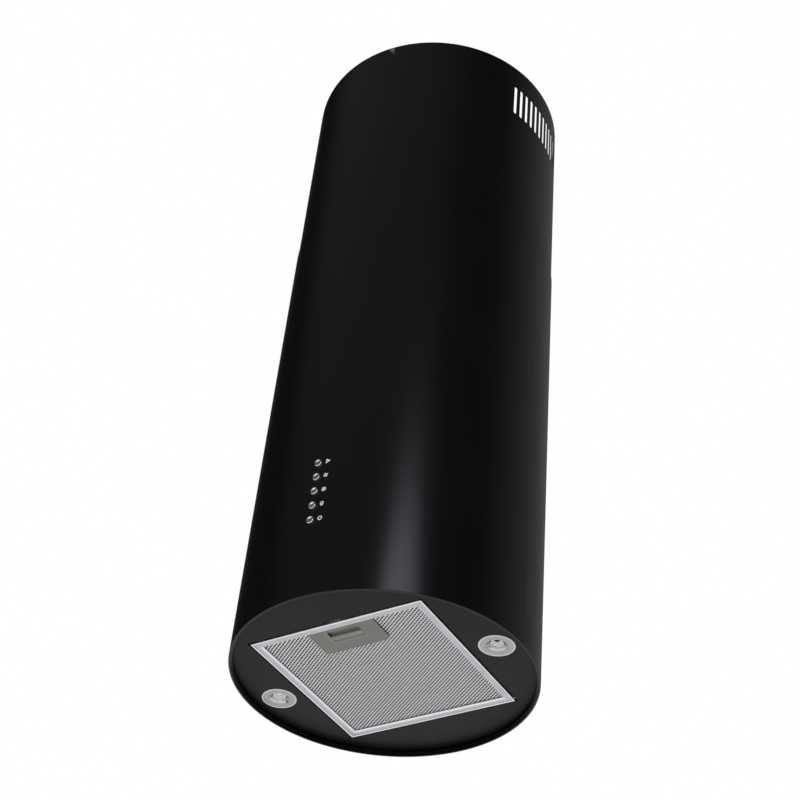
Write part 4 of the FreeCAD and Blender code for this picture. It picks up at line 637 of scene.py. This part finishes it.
def cap_outline():
    """Section of a button from its middle: dished face, rounded edge, collar and stem."""
    sunk = DISH_SUNK + DISH_RADIUS * (1 - math.cos(DISH_EDGE))
    angles = [DISH_EDGE * step / DISH_STEPS for step in range(DISH_STEPS + 1)]
    dish = [(DISH_RADIUS * math.sin(angle), sunk - DISH_RADIUS * (1 - math.cos(angle))) for angle in angles]
    return [(radius * MM, depth * MM) for radius, depth in (*dish, *CAP_ROLL, *CAP_BACK)]


def make_buttons():
    """Chrome caps with a finger dish, turned on the axis of each CAD button."""
    points, faces = lathe(cap_outline(), Vector(), FEWER_SEGMENTS)
    for number in BUTTONS:
        low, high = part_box(f"button_{number}")
        front = Vector(((low.x + high.x) / 2, low.y, (low.z + high.z) / 2))
        placed = [front + Vector((point.x, point.z, -point.y)) for point in points]
        cap = piece(f"cap_{number}", placed, faces, CHROME, f"button_body_{number}", "chrome_cap")
        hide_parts(f"button_{number}")


# ---------------------------------------------------------------- signs beside the buttons

# Place of the signs round the casing from its front, and the print's height.
SIGN_OFFSET = 11.7 * MM
SIGN_LIFT = 0.04 * MM
SIGN_STEPS = 90
LOBE_SHARPNESS = 1.1
FAN_TWIST = 0.6
# Fans by blades, tip, waist and hub radius, in millimetres.
FANS = (("high", 3, 3.3, 0.75, 0.3), ("middle", 4, 3.2, 1.1, 0.55), ("low", 5, 3.2, 1.7, 0.55))
LAMP_RADIUS = 2.3 * MM
LAMP_FOOT = 1.1 * MM
LAMP_RISE = 0.6 * MM
LAMP_HOLE = 1.05 * MM
LAMP_HOLE_RISE = 0.7 * MM
# Shares of the lamp's radius: where its foot starts and ends below its middle, and how the foot spreads.
LAMP_NECK = 0.55
LAMP_LENGTH = 1.5
LAMP_NECK_WIDER = 1.2
RING_OUTER = 2.9 * MM
RING_INNER = 1.55 * MM


def on_tube(across, up):
    """Point on the casing at a distance round it from the front and at a height."""
    angle = across / TUBE_RADIUS
    radius = TUBE_RADIUS + SIGN_LIFT
    return Vector((radius * math.sin(angle), -radius * math.cos(angle), up))


def band(outer, inner, centre):
    """Flat ring between two outlines of equal count, laid on the casing."""
    count = len(outer)
    points = [on_tube(centre[0] + x, centre[1] + y) for x, y in (*outer, *inner)]
    faces = [[k, (k + 1) % count, count + (k + 1) % count, count + k] for k in range(count)]
    return points, faces


def fan_outline(blades, tip, waist):
    """Outline of a fan wheel: lobes that lean round the hub."""
    outline = []
    for step in range(SIGN_STEPS):
        angle = TURN * step / SIGN_STEPS
        share = abs(math.cos(blades * angle / 2)) ** LOBE_SHARPNESS
        radius = waist + (tip - waist) * share
        lean = angle + FAN_TWIST * radius / tip + TURN / 4
        outline.append((radius * math.cos(lean), radius * math.sin(lean)))
    return outline


def circle(radius, rise=0.0):
    """Circle from its top, with its middle at a height."""
    angles = [TURN * k / SIGN_STEPS + TURN / 4 for k in range(SIGN_STEPS)]
    return [(radius * math.cos(angle), rise + radius * math.sin(angle)) for angle in angles]


def lamp_outline():
    """Round lamp that narrows into a straight foot."""
    outline = []
    for x, y in circle(LAMP_RADIUS, LAMP_RISE):
        if y < LAMP_RISE - LAMP_NECK * LAMP_RADIUS:
            x = max(-LAMP_FOOT, min(LAMP_FOOT, x * LAMP_NECK_WIDER))
            y = LAMP_RISE - LAMP_RADIUS * LAMP_LENGTH
        outline.append((x, y))
    return outline


def make_signs():
    """Generic signs: three fan speeds, a lamp and a power ring, right of the buttons."""
    signs = [("fan_" + name, fan_outline(blades, tip * MM, waist * MM), circle(hub * MM))
             for name, blades, tip, waist, hub in FANS]
    signs.append(("lamp", lamp_outline(), circle(LAMP_HOLE, LAMP_HOLE_RISE)))
    signs.append(("power", circle(RING_OUTER), circle(RING_INNER)))
    heights = sorted((middle(f"button_{number}").z for number in BUTTONS), reverse=True)
    for (name, outer, inner), height in zip(signs, heights):
        points, faces = band(outer, inner, (SIGN_OFFSET, height))
        piece("sign_" + name, points, faces, SIGN_WHITE, "hood_body", "black_enamel")


# ---------------------------------------------------------------- studio

FLOOR_LEVEL = -3.2
FLOOR_HALF = 30
FLOOR_DARKER = (0.86, 0.86, 0.86)
FLOOR_LIGHTER = (0.9, 0.9, 0.9)
FLOOR_CLOUDS = 3
FLOOR_ROUGH = 0.9


def make_floor():
    """Plain pale floor far below the hood, with faint clouds in its tone."""
    material, nodes, shader = new_material("pale_floor")
    shader.inputs["Specular IOR Level"].default_value = 0
    shader.inputs["Roughness"].default_value = FLOOR_ROUGH
    clouds = nodes.noise(FLOOR_CLOUDS, CLOUD_DETAIL)
    nodes.join(nodes.tint(clouds, FLOOR_DARKER, FLOOR_LIGHTER), shader.inputs["Base Color"])
    data = bpy.data.meshes.new("floor")
    corners = ((-1, -1), (1, -1), (1, 1), (-1, 1))
    points = [(side * FLOOR_HALF, end * FLOOR_HALF, FLOOR_LEVEL) for side, end in corners]
    data.from_pydata(points, [], [(0, 1, 2, 3)])
    data.materials.append(material)
    floor = bpy.data.objects.new("floor", data)
    bpy.context.scene.collection.objects.link(floor)


# Strength of the plain light all round, and of the dim studio that reflections see above the horizon.
AMBIENT = 0.85
STUDIO_ABOVE = 0.0045
# Wide soft glows in reflections: azimuth and elevation in degrees, the cosines where each starts and is
# full, and the strengths there. The first makes all below the horizon white and fades out a little above it.
# The others show in the tube, one near its right edge and one near the buttons.
BELOW_GLOW = (0, -90, -0.3, 0.05, STUDIO_ABOVE, 1)
RIGHT_GLOW = (170, 18, 0.3, 1.0, 0.0, 0.165)
FRONT_GLOW = (-16, 56, 0.66, 1.0, 0.0, 0.115)


def glow(nodes, direction, azimuth, elevation, near, far, low, high):
    """Strength that rises from low to high towards a place, between two cosines."""
    dot = nodes.add("ShaderNodeVectorMath", operation="DOT_PRODUCT")
    dot.inputs[1].default_value = toward(math.radians(azimuth), math.radians(elevation))
    nodes.join(direction, dot.inputs[0])
    return nodes.mapped(dot.outputs["Value"], near, far, low, high, interpolation_type="SMOOTHSTEP")


def make_world():
    """White behind the object, a dim studio above it in reflections, and plain light all round."""
    world = bpy.data.worlds.new("studio")
    bpy.context.scene.world = world
    world.use_nodes = True
    nodes = Nodes(world.node_tree)
    path = nodes.add("ShaderNodeLightPath")
    direction = nodes.add("ShaderNodeTexCoord").outputs["Generated"]
    below, right, front = (glow(nodes, direction, *values) for values in (BELOW_GLOW, RIGHT_GLOW, FRONT_GLOW))
    wide = nodes.math("ADD", right, front)
    mirrored = nodes.math("MAXIMUM", path.outputs["Is Glossy Ray"], path.outputs["Is Transmission Ray"])
    seen = path.outputs["Is Camera Ray"]
    reflected = nodes.math("MULTIPLY", mirrored, nodes.math("MAXIMUM", below, wide))
    other = nodes.math("SUBTRACT", 1, nodes.math("MAXIMUM", seen, mirrored), clamp=True)
    ambient = nodes.math("MULTIPLY", other, AMBIENT)
    strength = nodes.math("ADD", nodes.math("ADD", seen, reflected), ambient)
    background = nodes.add("ShaderNodeBackground")
    background.inputs["Color"].default_value = (1, 1, 1, 1)
    output = nodes.add("ShaderNodeOutputWorld")
    nodes.join(strength, background.inputs["Strength"])
    nodes.join(background.outputs[0], output.inputs["Surface"])


# The key light, in front of the hood and to its right: an ellipse, sizes in metres.
KEY_AZIMUTH = math.radians(37.5)
KEY_ELEVATION = math.radians(17)
KEY_DISTANCE = 3.2
KEY_WIDE = 1.75
KEY_TALL = 1.7
KEY_RADIANCE = 2.9
KEY_TINT = (0.96, 0.97, 1.1)
KEY_TARGET = Vector((0, 0, -0.6))


def make_key_light():
    """Elliptic area light whose reflection is the soft streak down the tube."""
    direction = toward(KEY_AZIMUTH, KEY_ELEVATION)
    data = bpy.data.lights.new("key", "AREA")
    data.shape = "ELLIPSE"
    data.size, data.size_y = KEY_WIDE, KEY_TALL
    data.color = KEY_TINT
    data.energy = KEY_RADIANCE * math.pi * KEY_WIDE * KEY_TALL * (math.pi / 4)
    lamp = bpy.data.objects.new("key", data)
    bpy.context.scene.collection.objects.link(lamp)
    lamp.location = KEY_TARGET + direction * KEY_DISTANCE
    lamp.rotation_mode = "QUATERNION"
    lamp.rotation_quaternion = direction.to_track_quat("Z", "Y")


# ---------------------------------------------------------------- build

make_camera()
finish_nodes()
make_mesh()
make_frame()
make_latch()
make_grip_rim()
make_lamps()
make_buttons()
make_signs()
make_floor()
make_world()
make_key_light()
bpy.context.scene.view_settings.view_transform = "Standard"
